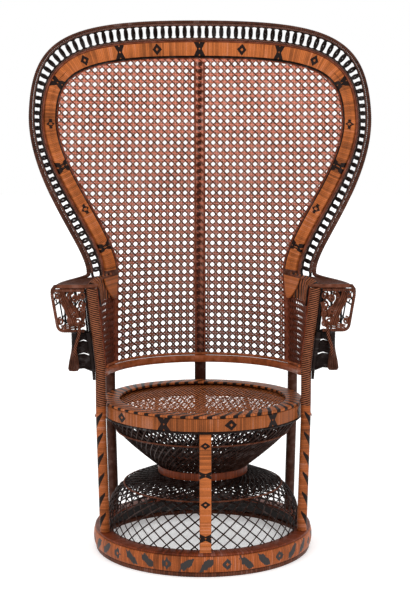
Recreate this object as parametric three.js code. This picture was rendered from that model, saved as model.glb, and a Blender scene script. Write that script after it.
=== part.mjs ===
// A wicker peacock chair: a fan-shaped back over a round seat, on an hourglass base.
// Millimetres, +Z up, and the sitter faces -Y. The seat's axis is the origin while the
// pieces are made, and the finished group is then centred over its own bounding box.
import * as THREE from "three";

// Clearance between neighbouring pieces, and how finely round pieces are divided.
const gap = 0.3;
const ringSteps = 32;
const poleSides = 8;
const reedSides = 6;

// The seat sets the width and the height of all that stands under it and on it.
const seatHeight = 422;
const seatRadius = 278;

// Base ring: a foot hoop, a wrapped band that bulges, and a flat ledge on top.
const ringOverhang = 26;
const footHoopHeight = 13;
const footHoopWidth = 14;
const footHoopInset = 2;
const ringBandHeight = 43;
const ringBandWall = 10;
const ringBandBulge = 4;
const ledgeThickness = 6;
const ledgeWidth = 42;
const edgeChamfer = 2;

// Hourglass: a lattice dome, a waist band and a lattice bowl.
const waistRadius = 126;
const waistWall = 8;
const waistHeight = 22;
const waistFloorHeight = 210;
const latticeThickness = 4;
const domeInset = 36;
const domeSquareness = 2.8;
const bowlInset = 18;
const bowlShoulderRadiusShare = 0.96;
const bowlShoulderHeightShare = 0.74;
const latticeColumns = 16;
const domeRows = 3;
const bowlRows = 2;
const strandWidth = 9;
const latticeRailHeight = 9;
const bindingHoopThickness = 4;
const domeHoopShare = 0.58;
const bowlHoopShare = 0.62;

// Seat: a wrapped drum with a flat rim, and a dished panel carried on bearers.
const seatRimThickness = 7;
const seatRimWidth = 46;
const drumHeight = 34;
const drumWall = 12;
const lowerHoopHeight = 6;
const lowerHoopWidth = 24;
const coverHoopHeight = 4;
const coverHoopWidth = 12;
const panelThickness = 4;
const panelDish = 8;
const panelPitch = 62;
const panelHoleShare = 0.6;
const supportHoopHeight = 12;
const supportHoopWidth = 14;
const bearerSpacing = 130;
const bearerCount = 3;

// Posts: two round ones at the front and two at the rear, and a flat one between each pair.
const postDiameter = 28;
const postBaseInset = 17;
const frontPostAngle = -18.5;
const rearPostAngle = 25;
const rearPostOutset = 3;
const neckStationShares = [0.25, 0.5, 0.75, 1];
const armPostSplay = 41.5;
const lashingThickness = 3;
const lashingHeight = 52;
const lashingRise = 13;
const flatPostWidth = 31;
const flatPostDepth = 12;
const spineWidth = 34;
const spineDepth = 16;

// Back: a rail over the seat, and a woven sheet that leans and flares like a fan.
const railRiseOverSeat = 53;
const railTallness = 21;
const railDepth = 18;
const railRise = 22;
const leanAngle = 7;
const flareDepth = 110;
const flareLength = 440;
const sheetThickness = 4;
const sheetInset = 31;
const sheetColumnPitch = 70;
const sheetRowPitch = 74;
const sheetHoleShare = 0.62;
const spineStripWidth = 30;
const spineStripThickness = 3;

// Fan lines, from the neck past the widest point to the crown: first the band's middle,
// then the rim hoop, which stands off from it by the border's width.
const armRise = 328;
const bandFootDrop = 5;
const neckOutset = 20;
const wideOutset = 177;
const wideRise = 452;
const crownRise = 211;
const rimFootRise = 8;
const borderNeckWidth = 56;
const borderSideWidth = 52;
const borderWideRise = 16;
const borderCrownWidth = 82;
const armHeight = seatHeight + armRise;
const sheetHalfWidth = seatRadius - sheetInset;
const neckHalfWidth = sheetHalfWidth + neckOutset;
const wideHalfWidth = neckHalfWidth + wideOutset;
const bandLine = {
  neckHalfWidth,
  neckHeight: armHeight - bandFootDrop,
  wideHalfWidth,
  wideHeight: armHeight + wideRise,
  crownHeight: armHeight + wideRise + crownRise,
  neckHandleShare: 0.26,
  wideHandleShare: 0.34,
  crownHandleShare: 0.8,
};
const rimLine = {
  neckHalfWidth: neckHalfWidth + borderNeckWidth,
  neckHeight: armHeight + rimFootRise,
  wideHalfWidth: wideHalfWidth + borderSideWidth,
  wideHeight: bandLine.wideHeight + borderWideRise,
  crownHeight: bandLine.crownHeight + borderCrownWidth,
  neckHandleShare: 0.16,
  wideHandleShare: 0.42,
  crownHandleShare: 0.8,
};
const bandWidth = 41;
const bandSideWidth = 29;
const bandSlimStart = 0.3;
const bandSlimEnd = 0.52;
const bandDepth = 18;
const bandCrown = 4;
const beadDiameter = 6;
const beadSides = 4;
const rimDiameter = 10;
const loopPitch = 46;
const loopThickness = 6;
const loopWidthShare = 0.6;
const loopTipShare = 0.12;
const loopShoulderShare = 0.34;

// Arms: rails over a rolled rest that widens to the front, with scrollwork in its end.
const armRailDiameter = 12;
const armRailBendShare = 0.4;
const armTopThickness = 4;
const armTopSteps = 5;
const armTopShares = [0.34, 0.96];
const innerRailShares = [0.15, 0.4, 0.7, 1];
const railSteps = 8;
const armFrontDepth = 107;
const armOverhang = 90.5;
const armDrop = 110;
const armSlant = 18;
const armCorner = 16;
const armReturn = 88;
const armEndDiameter = 9;
const armEndShares = [0, 0.14, 0.28, 0.34, 0.42, 0.56, 0.7, 0.76, 0.84, 1];
const restThickness = 5;
const restTailShare = 0.3;
const restTailDepth = 112;
const restColumns = 8;
const restRows = 3;
const restHoleShare = 0.55;
const scrollDiameter = 10;
const scrollSideClearance = 8.2;
const scrollFootClearance = 10.5;
const scrollHeart = 12;
const scrollTurns = 1.8;
const scrollSteps = 26;
const corbelSides = 10;
const corbelLength = 104;
const corbelLean = 7;
const corbelOutset = 23.5;
const corbelTopRadius = 15;
const corbelNeckRadius = 9;
const corbelFootRadius = 9;
const corbelNeckShare = 0.55;
const braceTopRadius = 9;
const braceTipRadius = 4;
const braceTipDrop = 30;

// Wings: woven panels from the sheet to the front posts, with a row of stakes on top.
const wingThickness = 5;
const wingColumns = 4;
const wingRows = 4;
const wingHoleShare = 0.5;
const stakeHeight = 50;
const stakeCount = 5;
const stakeSides = 3;
const stakeReliefShare = 0.8;

// Heights and radii that follow from the sizes above.
const ringRadius = seatRadius + ringOverhang;
const domeBaseRadius = ringRadius - domeInset;
const bowlTopRadius = seatRadius - bowlInset;
const rearPostHalfWidth = sheetHalfWidth + rearPostOutset;
const armPostRadius = seatRadius + armPostSplay;
const armReach = armPostRadius + armOverhang;
const corbelOffset = armPostRadius + corbelOutset;
const railHeight = seatHeight + railRiseOverSeat;
const ringBandBottom = footHoopHeight + gap;
const ringBandTop = ringBandBottom + ringBandHeight;
const ledgeBottom = ringBandTop + gap;
const ledgeTop = ledgeBottom + ledgeThickness;
const standHeight = ledgeTop + gap;
const waistTop = waistFloorHeight + waistHeight;
const waistCentreRadius = waistRadius - waistWall / 2;
const rimBottom = seatHeight - seatRimThickness;
const drumTop = rimBottom - gap;
const drumBottom = drumTop - drumHeight;
const lowerHoopTop = drumBottom - gap;
const lowerHoopBottom = lowerHoopTop - lowerHoopHeight;
const coverBottom = drumTop - coverHoopHeight;
const panelTop = coverBottom - gap;
const panelBottom = panelTop - panelThickness;
const supportTop = panelBottom - gap;
const supportBottom = supportTop - supportHoopHeight;
const bearerDiameter = supportBottom - lowerHoopTop - 2 * gap;
const drumBoreRadius = seatRadius - drumWall;
const boreFlatRadius = drumBoreRadius * Math.cos(Math.PI / ringSteps) - gap;
const postRadius = postDiameter / 2;
const postFaceRadius = seatRadius + lashingThickness + 2 * gap;
const postAxisRadius = postFaceRadius + postRadius;
const postBaseRadius = ringRadius - postBaseInset;
const sheetRadius = postFaceRadius - gap - sheetThickness / 2;
const postOffset = postAxisRadius - sheetRadius;
const railTop = railHeight + railTallness;
const sheetBottom = railTop + gap;
const railOuterRadius = postFaceRadius - gap;
const splayFloor = railTop + railRise;
const flareFloorHeight = armHeight - flareDepth;
const neckTop = bandLine.neckHeight - gap;
const armPostTop = armHeight - armRailDiameter - gap;
const armRailHeight = armHeight - armRailDiameter / 2;
const armEndHeight = armPostTop - armEndDiameter / 2;

const looks = {
  honey: { color: 0xb5672f, roughness: 0.45 },
  red: { color: 0x8a4426, roughness: 0.5 },
  brown: { color: 0x5a3020, roughness: 0.55 },
  dark: { color: 0x2e1d18, roughness: 0.55 },
};
const chair = new THREE.Group();

function add(name, geometry, look) {
  const material = new THREE.MeshStandardMaterial({ ...looks[look], metalness: 0 });
  const mesh = new THREE.Mesh(geometry, material);
  mesh.name = name;
  chair.add(mesh);
}

const halfTurn = 180;
const radians = THREE.MathUtils.degToRad;
const lerp = THREE.MathUtils.lerp;
const point = (x, y, z) => new THREE.Vector3(x, y, z);

function polar(radius, degrees, height) {
  return point(radius * Math.cos(radians(degrees)), radius * Math.sin(radians(degrees)), height);
}

// A spot on a ring's flats, so that what stands on a ring or inside it meets its facets.
function onFlats(radius, degrees, height) {
  const step = (2 * halfTurn) / ringSteps;
  const fromVertex = radians(degrees - step * Math.floor(degrees / step));
  const half = radians(step / 2);
  return polar((radius * Math.cos(half)) / Math.cos(fromVertex - half), degrees, height);
}

// A closed mesh from a list of triangle corners, with its faces turned outwards.
function solidOf(corners) {
  let volume = 0;
  for (let i = 0; i < corners.length; i += 3) {
    volume += corners[i].dot(corners[i + 1].clone().cross(corners[i + 2]));
  }
  const outward = [];
  for (let i = 0; i < corners.length; i += 3) {
    const [a, b, c] = corners.slice(i, i + 3);
    outward.push(a, ...(volume < 0 ? [c, b] : [b, c]));
  }
  const geometry = new THREE.BufferGeometry().setFromPoints(outward);
  geometry.computeVertexNormals();
  return geometry;
}

// The same solid on the other side of the chair.
function mirrored(geometry) {
  const position = geometry.getAttribute("position");
  const corners = [];
  for (let i = 0; i < position.count; i++) {
    corners.push(point(-position.getX(i), position.getY(i), position.getZ(i)));
  }
  return solidOf(corners);
}

function addPair(name, geometry, look) {
  add(`${name}_right`, geometry, look);
  add(`${name}_left`, mirrored(geometry), look);
}

// A ring turned about the Z axis from a closed outline of [radius, height] corners.
function turned(outline, steps = ringSteps) {
  const corners = [];
  const rings = [...outline, outline[0]];
  const lathe = new THREE.LatheGeometry(
    rings.map(([radius, height]) => new THREE.Vector2(radius, height)),
    steps,
  );
  const position = lathe.getAttribute("position");
  const index = lathe.getIndex();
  for (let i = 0; i < index.count; i++) {
    const vertex = index.getX(i) % (steps * rings.length);
    corners.push(new THREE.Vector3().fromBufferAttribute(position, vertex));
  }
  return solidOf(corners).rotateX(Math.PI / 2);
}

// The corners of a ring's section, with its outer corners cut off.
function ringSection(inner, outer, bottom, top, chamfer) {
  return [
    [inner, bottom],
    [outer - chamfer, bottom],
    [outer, bottom + chamfer],
    [outer, top - chamfer],
    [outer - chamfer, top],
    [inner, top],
  ];
}

function squareSection(inner, outer, bottom, top) {
  return [
    [inner, bottom],
    [outer, bottom],
    [outer, top],
    [inner, top],
  ];
}

// A closed solid through a row of sections, each a convex ring of points in one order.
function loft(sections) {
  const count = sections[0].length;
  const corners = [];
  sections.slice(1).forEach((next, row) => {
    const here = sections[row];
    for (let i = 0; i < count; i++) {
      const j = (i + 1) % count;
      corners.push(here[i], here[j], next[j], here[i], next[j], next[i]);
    }
  });
  const first = sections[0];
  const last = sections[sections.length - 1];
  for (let i = 1; i < count - 1; i++) {
    corners.push(first[0], first[i + 1], first[i], last[0], last[i], last[i + 1]);
  }
  return solidOf(corners);
}

// A round bar along a curve, which may taper from one radius to another.
function bar(curve, steps, startRadius, endRadius = startRadius, sides = reedSides) {
  const frames = curve.computeFrenetFrames(steps, false);
  const sections = [];
  for (let i = 0; i <= steps; i++) {
    const centre = curve.getPointAt(i / steps);
    const radius = lerp(startRadius, endRadius, i / steps);
    const ring = [];
    for (let k = 0; k < sides; k++) {
      const angle = (2 * Math.PI * k) / sides;
      const spot = centre.clone();
      spot.addScaledVector(frames.normals[i], radius * Math.cos(angle));
      spot.addScaledVector(frames.binormals[i], radius * Math.sin(angle));
      ring.push(spot);
    }
    sections.push(ring);
  }
  return loft(sections);
}

// An upright piece with level sections: [dx, dy] corners about each station's centre.
function upright(stations, outlineAt) {
  return loft(
    stations.map((centre) =>
      outlineAt(centre).map(([dx, dy]) => point(centre.x + dx, centre.y + dy, centre.z)),
    ),
  );
}

// A level circle of corners, one of which faces the seat's axis.
function roundOutline(radius, facing, sides = poleSides) {
  const corners = [];
  for (let k = 0; k < sides; k++) {
    const angle = radians(facing) + (2 * Math.PI * k) / sides;
    corners.push([radius * Math.cos(angle), radius * Math.sin(angle)]);
  }
  return corners;
}

function rectangle(u0, v0, u1, v1) {
  return [
    [u0, v0],
    [u1, v0],
    [u1, v1],
    [u0, v1],
  ];
}

// A pierced sheet: polygons in flat (u, v) coordinates, laid on a surface that gives the
// two faces. Edges that only one polygon has become its walls. With a period, u wraps.
function piercedSheet(polygons, place, period = 0) {
  const numbers = new Map();
  const spots = [];
  const numberOf = ([u, v]) => {
    const around = period && u >= period ? u - period : u;
    const key = `${around.toFixed(4)},${v.toFixed(4)}`;
    if (!numbers.has(key)) {
      numbers.set(key, spots.length);
      spots.push([place(around, v, 1), place(around, v, -1)]);
    }
    return numbers.get(key);
  };
  const corners = [];
  const edges = new Map();
  for (const { outline, hole = [] } of polygons) {
    const contour = outline.map(([u, v]) => new THREE.Vector2(u, v));
    const holes = hole.length ? [hole.map(([u, v]) => new THREE.Vector2(u, v))] : [];
    const all = [...outline, ...hole].map(numberOf);
    for (const triangle of THREE.ShapeUtils.triangulateShape(contour, holes)) {
      const [a, b, c] = triangle.map((i) => all[i]);
      corners.push(spots[a][0], spots[b][0], spots[c][0]);
      corners.push(spots[a][1], spots[c][1], spots[b][1]);
      [[a, b], [b, c], [c, a]].forEach((edge) => edges.set(edge.join(), edge));
    }
  }
  for (const [a, b] of edges.values()) {
    if (edges.has(`${b},${a}`)) continue;
    corners.push(spots[a][0], spots[a][1], spots[b][1]);
    corners.push(spots[a][0], spots[b][1], spots[b][0]);
  }
  return solidOf(corners);
}

// A grid of pierced rectangles over u and v from 0 to 1.
function gridPolygons(columns, rows, holeShare) {
  const polygons = [];
  const inset = (1 - holeShare) / 2;
  for (let i = 0; i < columns; i++) {
    for (let j = 0; j < rows; j++) {
      const hole = rectangle(i + inset, j + inset, i + 1 - inset, j + 1 - inset).reverse();
      polygons.push({ outline: rectangle(i, j, i + 1, j + 1), hole });
    }
  }
  const shrink = ([u, v]) => [u / columns, v / rows];
  return polygons.map(({ outline, hole }) => ({
    outline: outline.map(shrink),
    hole: hole.map(shrink),
  }));
}

// The part of a polygon that lies inside a rectangle.
function clipped(outline, [[u0, v0], , [u1, v1]]) {
  const limits = [
    [0, u0, 1],
    [0, u1, -1],
    [1, v0, 1],
    [1, v1, -1],
  ];
  return limits.reduce((polygon, [axis, limit, sign]) => {
    const inside = (spot) => sign * (spot[axis] - limit) >= 0;
    return polygon.flatMap((spot, i) => {
      const next = polygon[(i + 1) % polygon.length];
      const kept = inside(spot) ? [spot] : [];
      if (inside(spot) === inside(next)) return kept;
      const share = (limit - spot[axis]) / (next[axis] - spot[axis]);
      return [...kept, spot.map((value, k) => lerp(value, next[k], share))];
    });
  }, outline);
}

function areaOf(outline) {
  return Math.abs(THREE.ShapeUtils.area(outline.map(([u, v]) => new THREE.Vector2(u, v))));
}

function dropRepeats(outline) {
  const near = (a, b) => Math.hypot(a[0] - b[0], a[1] - b[1]) < gap / 10;
  return outline.filter((spot, i) => !near(spot, outline[(i + 1) % outline.length]));
}

// Net polygons inside an outline that is the same on both sides of u = 0, given by its
// right-hand [u, v] points from bottom to top. A cell is pierced where its hole fits.
function netPolygons(edge, columnPitch, rowPitch, holeShare) {
  const outline = dropRepeats([...edge, ...edge.map(([u, v]) => [-u, v]).reverse()]);
  const bottom = edge[0][1];
  const rows = Math.ceil((edge[edge.length - 1][1] - bottom) / rowPitch);
  const columns = Math.ceil(Math.max(...edge.map(([u]) => u)) / columnPitch);
  const du = (columnPitch * (1 - holeShare)) / 2;
  const dv = (rowPitch * (1 - holeShare)) / 2;
  const polygons = [];
  for (let i = -columns; i < columns; i++) {
    for (let j = 0; j < rows; j++) {
      const [u, v] = [i * columnPitch, bottom + j * rowPitch];
      const cell = rectangle(u, v, u + columnPitch, v + rowPitch);
      const piece = dropRepeats(clipped(outline, cell));
      if (piece.length < 3 || areaOf(piece) < gap * gap) continue;
      const hole = rectangle(u + du, v + dv, u + columnPitch - du, v + rowPitch - dv);
      const room = rectangle(hole[0][0] - du / 2, v + dv / 2, hole[2][0] + du / 2, hole[2][1] + dv / 2);
      const fits = areaOf(clipped(outline, room)) > areaOf(room) * (1 - gap / columnPitch);
      polygons.push({ outline: piece, hole: fits ? hole.reverse() : [] });
    }
  }
  return polygons;
}

// How far the back leans at a height, and its radius in plan, which grows above the neck.
function leanAt(height) {
  return Math.max(height - railTop, 0) * Math.tan(radians(leanAngle));
}

function planRadius(height) {
  return sheetRadius * Math.exp(Math.max(height - flareFloorHeight, 0) / flareLength);
}

// A point of the back at a half width and height, moved out from the sitter by a distance.
function backPoint(x, height, out = 0) {
  const radius = planRadius(height);
  const side = x / radius;
  const depth = Math.sqrt(1 - side * side);
  const y = sheetRadius + leanAt(height) - radius * (1 - depth);
  return point(x + out * side, y + out * depth, height);
}

// The right half of a fan line, from its crown to its neck.
function fanPath(line) {
  const { neckHalfWidth, neckHeight, wideHalfWidth, wideHeight, crownHeight } = line;
  const lower = wideHeight - neckHeight;
  const upper = crownHeight - wideHeight;
  const wide = new THREE.Vector2(wideHalfWidth, wideHeight);
  const path = new THREE.CurvePath();
  path.add(
    new THREE.CubicBezierCurve(
      new THREE.Vector2(0, crownHeight),
      new THREE.Vector2(wideHalfWidth * line.crownHandleShare, crownHeight),
      new THREE.Vector2(wideHalfWidth, wideHeight + upper * line.crownHandleShare),
      wide,
    ),
  );
  path.add(
    new THREE.CubicBezierCurve(
      wide,
      new THREE.Vector2(wideHalfWidth, wideHeight - lower * line.wideHandleShare),
      new THREE.Vector2(neckHalfWidth, neckHeight + lower * line.neckHandleShare),
      new THREE.Vector2(neckHalfWidth, neckHeight),
    ),
  );
  return path;
}

// The fan's steps: one for each loop of the border on either side.
const fanSteps = Math.round(fanPath(bandLine).getLength() / loopPitch);

// What either edge of the band loses, towards the sides of the fan, of its width at the crown.
function bandSlimming(share) {
  const slimming = THREE.MathUtils.smoothstep(share, bandSlimStart, bandSlimEnd);
  return (slimming * (bandWidth - bandSideWidth)) / 2;
}

// Even spots along the right half of a fan line, with their outward normals, and how much
// less far the pieces on either side of the line stand off from it there.
function fanSpots(line, slimming = () => 0) {
  const path = fanPath(line);
  const spots = [];
  for (let i = 0; i <= fanSteps; i++) spots.push(path.getPoint(i / fanSteps));
  const normals = spots.map((spot, i) => {
    if (i === 0) return new THREE.Vector2(0, 1);
    if (i === fanSteps) return new THREE.Vector2(1, 0);
    const along = spots[i + 1].clone().sub(spots[i - 1]).normalize();
    return new THREE.Vector2(-along.y, along.x);
  });
  const slims = spots.map((spot, i) => slimming(i / fanSteps));
  return { spots, normals, slims };
}

const bandSpots = fanSpots(bandLine, bandSlimming);
const rimSpots = fanSpots(rimLine);

// A flat spot beside a fan line. The share runs from -1 at the left neck to 1 at the right.
function besideFan({ spots, normals, slims }, share, offset) {
  const along = Math.min(Math.abs(share), 1) * fanSteps;
  const i = Math.min(Math.floor(along), fanSteps - 1);
  const at = (k) => {
    return spots[k].clone().addScaledVector(normals[k], offset - Math.sign(offset) * slims[k]);
  };
  const spot = at(i).lerp(at(i + 1), along - i);
  return [Math.sign(share) * spot.x, spot.y];
}

// A bar that follows a fan line: its section is a convex ring of [offset, out] corners.
function fanBar(line, section) {
  const sections = [];
  for (let i = -fanSteps; i <= fanSteps; i++) {
    sections.push(
      section.map(([offset, out]) => {
        const [x, height] = besideFan(line, i / fanSteps, offset);
        return backPoint(x, height, out);
      }),
    );
  }
  return loft(sections);
}

function roundSection(offset, diameter, sides) {
  const corners = [];
  for (let k = 0; k < sides; k++) {
    const angle = (2 * Math.PI * (k + 0.5)) / sides;
    const reach = diameter / 2 / Math.cos(Math.PI / sides);
    corners.push([offset + reach * Math.cos(angle), reach * Math.sin(angle)]);
  }
  return corners;
}

// Offsets of the rings round the sheet, from the middle of the band.
const innerBeadOffset = -(bandWidth / 2 + gap + beadDiameter / 2);
const sheetEdgeOffset = innerBeadOffset - beadDiameter / 2 - gap;
const outerBeadOffset = -innerBeadOffset;
const loopRootOffset = outerBeadOffset + beadDiameter / 2 + gap;
const loopTipOffset = -(rimDiameter / 2 + gap);

function addBaseRing() {
  const inner = ringRadius - footHoopInset - footHoopWidth;
  const outer = ringRadius - footHoopInset;
  add("foot_hoop", turned(ringSection(inner, outer, 0, footHoopHeight, edgeChamfer)), "brown");
  const bandInner = ringRadius - ringBandWall;
  const bandMiddle = (ringBandBottom + ringBandTop) / 2;
  const bandProfile = [
    [bandInner, ringBandBottom],
    [ringRadius - edgeChamfer, ringBandBottom],
    [ringRadius + ringBandBulge, bandMiddle],
    [ringRadius - edgeChamfer, ringBandTop],
    [bandInner, ringBandTop],
  ];
  add("base_band", turned(bandProfile), "honey");
  const ledge = squareSection(ringRadius - ledgeWidth, ringRadius, ledgeBottom, ledgeTop);
  add("base_ledge", turned(ledge), "red");
}

// The dome's mid surface: a squared quarter oval from the ledge to under the waist band.
function domeProfile(share) {
  const power = 2 / domeSquareness;
  const waistTurn = Math.acos((waistCentreRadius / domeBaseRadius) ** (1 / power));
  const turn = share * waistTurn;
  const rise = (waistFloorHeight - gap - standHeight) / Math.sin(waistTurn) ** power;
  const radius = domeBaseRadius * Math.cos(turn) ** power;
  return new THREE.Vector2(radius, standHeight + rise * Math.sin(turn) ** power);
}

// The bowl's mid surface: straight up from the waist, then over a shoulder to the seat.
function bowlProfile(share) {
  const bottom = waistTop + gap;
  const top = lowerHoopBottom - gap;
  const shoulder = new THREE.Vector2(
    lerp(waistCentreRadius, bowlTopRadius, bowlShoulderRadiusShare),
    lerp(bottom, top, bowlShoulderHeightShare),
  );
  return new THREE.QuadraticBezierCurve(
    new THREE.Vector2(waistCentreRadius, bottom),
    shoulder,
    new THREE.Vector2(bowlTopRadius, top),
  ).getPoint(share);
}

// A turned lattice of crossing strands between two rails, on a profile of [radius, height].
// Its end edges are level, so that it stands flat on its neighbours.
function latticeShell(profile, rows) {
  const strand = strandWidth / ((2 * Math.PI * domeBaseRadius) / latticeColumns);
  const height = Math.abs(profile(1).y - profile(0).y);
  const rail = latticeRailHeight / height;
  const rowHeight = (1 - 2 * rail) / rows;
  const rise = strand * rowHeight;
  const polygons = [];
  for (let i = 0; i < latticeColumns; i++) {
    const [left, middle, right] = [i, i + 0.5, i + 1];
    const strandEnds = [left, left + strand, right - strand, right];
    const lowerRail = strandEnds.map((u) => [u, rail]).reverse();
    const upperRail = strandEnds.map((u) => [u, 1 - rail]);
    polygons.push({ outline: [[left, 0], [right, 0], ...lowerRail] });
    polygons.push({ outline: [...upperRail, [right, 1], [left, 1]] });
    for (let j = 0; j < rows; j++) {
      const low = rail + j * rowHeight;
      const high = low + rowHeight;
      const centre = (low + high) / 2;
      polygons.push({
        outline: [
          [left, low],
          [left + strand, low],
          [middle, centre - rise],
          [right - strand, low],
          [right, low],
          [right, low + rise],
          [middle + strand, centre],
          [right, high - rise],
          [right, high],
          [right - strand, high],
          [middle, centre + rise],
          [left + strand, high],
          [left, high],
          [left, high - rise],
          [middle - strand, centre],
          [left, low + rise],
        ],
      });
    }
  }
  const place = (u, v, face) => {
    const spot = profile(v);
    const ahead = profile(Math.min(v + strand / rows, 1));
    const behind = profile(Math.max(v - strand / rows, 0));
    const along = ahead.sub(behind).normalize();
    const level = v === 0 || v === 1;
    const half = (face * latticeThickness) / 2;
    const radius = spot.x + half * (level ? 1 : Math.abs(along.y));
    const shift = level ? 0 : -half * along.x * Math.sign(along.y);
    return onFlats(radius, (u * 2 * halfTurn) / latticeColumns, spot.y + shift);
  };
  return piercedSheet(polygons, place, latticeColumns);
}

function addHourglass() {
  const inner = waistRadius - waistWall;
  add("dome_lattice", latticeShell(domeProfile, domeRows), "dark");
  const waist = ringSection(inner, waistRadius, waistFloorHeight, waistTop, edgeChamfer);
  add("waist_band", turned(waist), "red");
  add("bowl_lattice", latticeShell(bowlProfile, bowlRows), "dark");
  addBindingHoop("dome_hoop", domeProfile, domeHoopShare);
  addBindingHoop("bowl_hoop", bowlProfile, bowlHoopShare);
}

// A thin hoop tied round a lattice: its square section stands on the lattice's outer face.
function addBindingHoop(name, profile, share) {
  const step = 1 / (2 * ringSteps);
  const along = profile(share + step).sub(profile(share - step)).normalize();
  const outward = new THREE.Vector2(Math.abs(along.y), -along.x * Math.sign(along.y));
  const half = bindingHoopThickness / 2;
  const centre = profile(share).addScaledVector(outward, latticeThickness / 2 + gap + half);
  const corners = [[-half, -half], [half, -half], [half, half], [-half, half]];
  const outline = corners.map(([out, up]) => {
    const corner = centre.clone().addScaledVector(outward, out).addScaledVector(along, up);
    return [corner.x, corner.y];
  });
  add(name, turned(outline), "brown");
}

function addSeat() {
  const rim = ringSection(seatRadius - seatRimWidth, seatRadius, rimBottom, seatHeight, edgeChamfer);
  add("seat_rim", turned(rim), "honey");
  add("seat_drum", turned(squareSection(drumBoreRadius, seatRadius, drumBottom, drumTop)), "honey");
  const lower = squareSection(seatRadius - lowerHoopWidth, seatRadius, lowerHoopBottom, lowerHoopTop);
  add("seat_lower_hoop", turned(lower), "dark");
  const hoopOuter = drumBoreRadius - gap;
  const cover = squareSection(hoopOuter - coverHoopWidth, hoopOuter, coverBottom, drumTop);
  add("seat_cover_hoop", turned(cover), "brown");
  const support = squareSection(hoopOuter - supportHoopWidth, hoopOuter, supportBottom, supportTop);
  add("seat_support_hoop", turned(support), "brown");
  addSeatPanel();
  addBearers();
}

function addSeatPanel() {
  const edge = [];
  for (let i = 0; i <= ringSteps / 2; i++) {
    const angle = Math.PI * (i / (ringSteps / 2) - 0.5);
    edge.push([boreFlatRadius * Math.cos(angle), boreFlatRadius * Math.sin(angle)]);
  }
  edge[0][0] = 0;
  edge[edge.length - 1][0] = 0;
  const polygons = netPolygons(edge, panelPitch, panelPitch, panelHoleShare);
  const flatRadius = drumBoreRadius - supportHoopWidth - panelPitch;
  const place = (x, y, face) => {
    const reach = Math.min(Math.hypot(x, y) / flatRadius, 1);
    const height = (panelTop + panelBottom + face * panelThickness) / 2;
    return point(x, y, height - panelDish * (1 - reach * reach));
  };
  add("seat_panel", piercedSheet(polygons, place), "red");
}

function addBearers() {
  const height = lowerHoopTop + gap + bearerDiameter / 2;
  for (let i = 0; i < bearerCount; i++) {
    const x = (i - (bearerCount - 1) / 2) * bearerSpacing;
    const reach = Math.sqrt(boreFlatRadius ** 2 - (Math.abs(x) + bearerDiameter / 2) ** 2);
    const path = new THREE.LineCurve3(point(x, -reach, height), point(x, reach, height));
    add(`seat_bearer_${i + 1}`, bar(path, 1, bearerDiameter / 2), "brown");
  }
}

// The front posts stand upright to the rail and then splay out to the arms.
function frontPostAxis(height) {
  if (height > splayFloor) {
    const share = (height - splayFloor) / (armPostTop - splayFloor);
    return polar(lerp(postAxisRadius, armPostRadius, share), frontPostAngle, height);
  }
  const share = Math.min((height - standHeight) / (drumBottom - standHeight), 1);
  return polar(lerp(postBaseRadius, postAxisRadius, share), frontPostAngle, height);
}

// The rear posts stand upright to the rail, and then follow the sheet's outer face.
function rearPostAxis(height) {
  if (height > railTop) return backPoint(rearPostHalfWidth, height, postOffset);
  const top = backPoint(rearPostHalfWidth, railTop, postOffset);
  const share = Math.min((height - standHeight) / (drumBottom - standHeight), 1);
  const degrees = THREE.MathUtils.radToDeg(Math.atan2(top.y, top.x));
  return polar(lerp(postBaseRadius, postAxisRadius, share), degrees, height);
}

function addPosts() {
  const frontHeights = [standHeight, drumBottom, splayFloor, armPostTop];
  const neckHeights = neckStationShares.map((share) => lerp(flareFloorHeight, neckTop, share));
  const rearHeights = [standHeight, drumBottom, railTop, flareFloorHeight, ...neckHeights];
  const frontOutline = roundOutline(postRadius, frontPostAngle);
  const rearOutline = roundOutline(postRadius, rearPostAngle);
  addPair("front_post", upright(frontHeights.map(frontPostAxis), () => frontOutline), "honey");
  addPair("rear_post", upright(rearHeights.map(rearPostAxis), () => rearOutline), "honey");
  addLashings();
  addFlatPosts();
}

// A sleeve of lashing round each front post, where the seat's drum is bound to it.
function addLashings() {
  const outer = postRadius + gap + lashingThickness;
  const outline = squareSection(postRadius + gap, outer, -lashingHeight / 2, lashingHeight / 2);
  const centre = frontPostAxis(seatHeight + lashingRise - lashingHeight / 2);
  const sleeve = turned(outline, poleSides);
  sleeve.rotateZ(radians(frontPostAngle)).translate(centre.x, centre.y, centre.z);
  addPair("post_lashing", sleeve, "brown");
}

function addFlatPosts() {
  const front = rectangle(-flatPostWidth / 2, -flatPostDepth / 2, flatPostWidth / 2, flatPostDepth / 2);
  const tuck = seatRadius - flatPostDepth / 2;
  const frontStations = [point(0, -postBaseRadius, standHeight), point(0, -tuck, lowerHoopBottom - gap)];
  add("front_centre_post", upright(frontStations, () => front), "honey");
  const spine = rectangle(-spineWidth / 2, -spineDepth / 2, spineWidth / 2, spineDepth / 2);
  const crown = besideFan(bandSpots, 0, sheetEdgeOffset)[1];
  const offset = sheetThickness / 2 + gap + spineDepth / 2;
  const seatStation = point(0, postFaceRadius + spineDepth / 2, drumBottom);
  const railStation = point(0, postFaceRadius + spineDepth / 2, railTop);
  const crownStation = backPoint(0, crown, offset);
  const foot = point(0, postBaseRadius, standHeight);
  add("spine_post", upright([foot, seatStation, railStation, crownStation], () => spine), "red");
  const strip = rectangle(
    -spineStripWidth / 2,
    -spineStripThickness / 2,
    spineStripWidth / 2,
    spineStripThickness / 2,
  );
  const sag = (spineStripWidth / 2) * (sheetColumnPitch / 2 / sheetRadius);
  const stripOffset = -(sheetThickness + spineStripThickness) / 2 - gap - sag;
  const stripEnds = [sheetBottom, crown].map((height) => backPoint(0, height, stripOffset));
  add("spine_strip", upright(stripEnds, () => strip), "dark");
}

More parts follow.
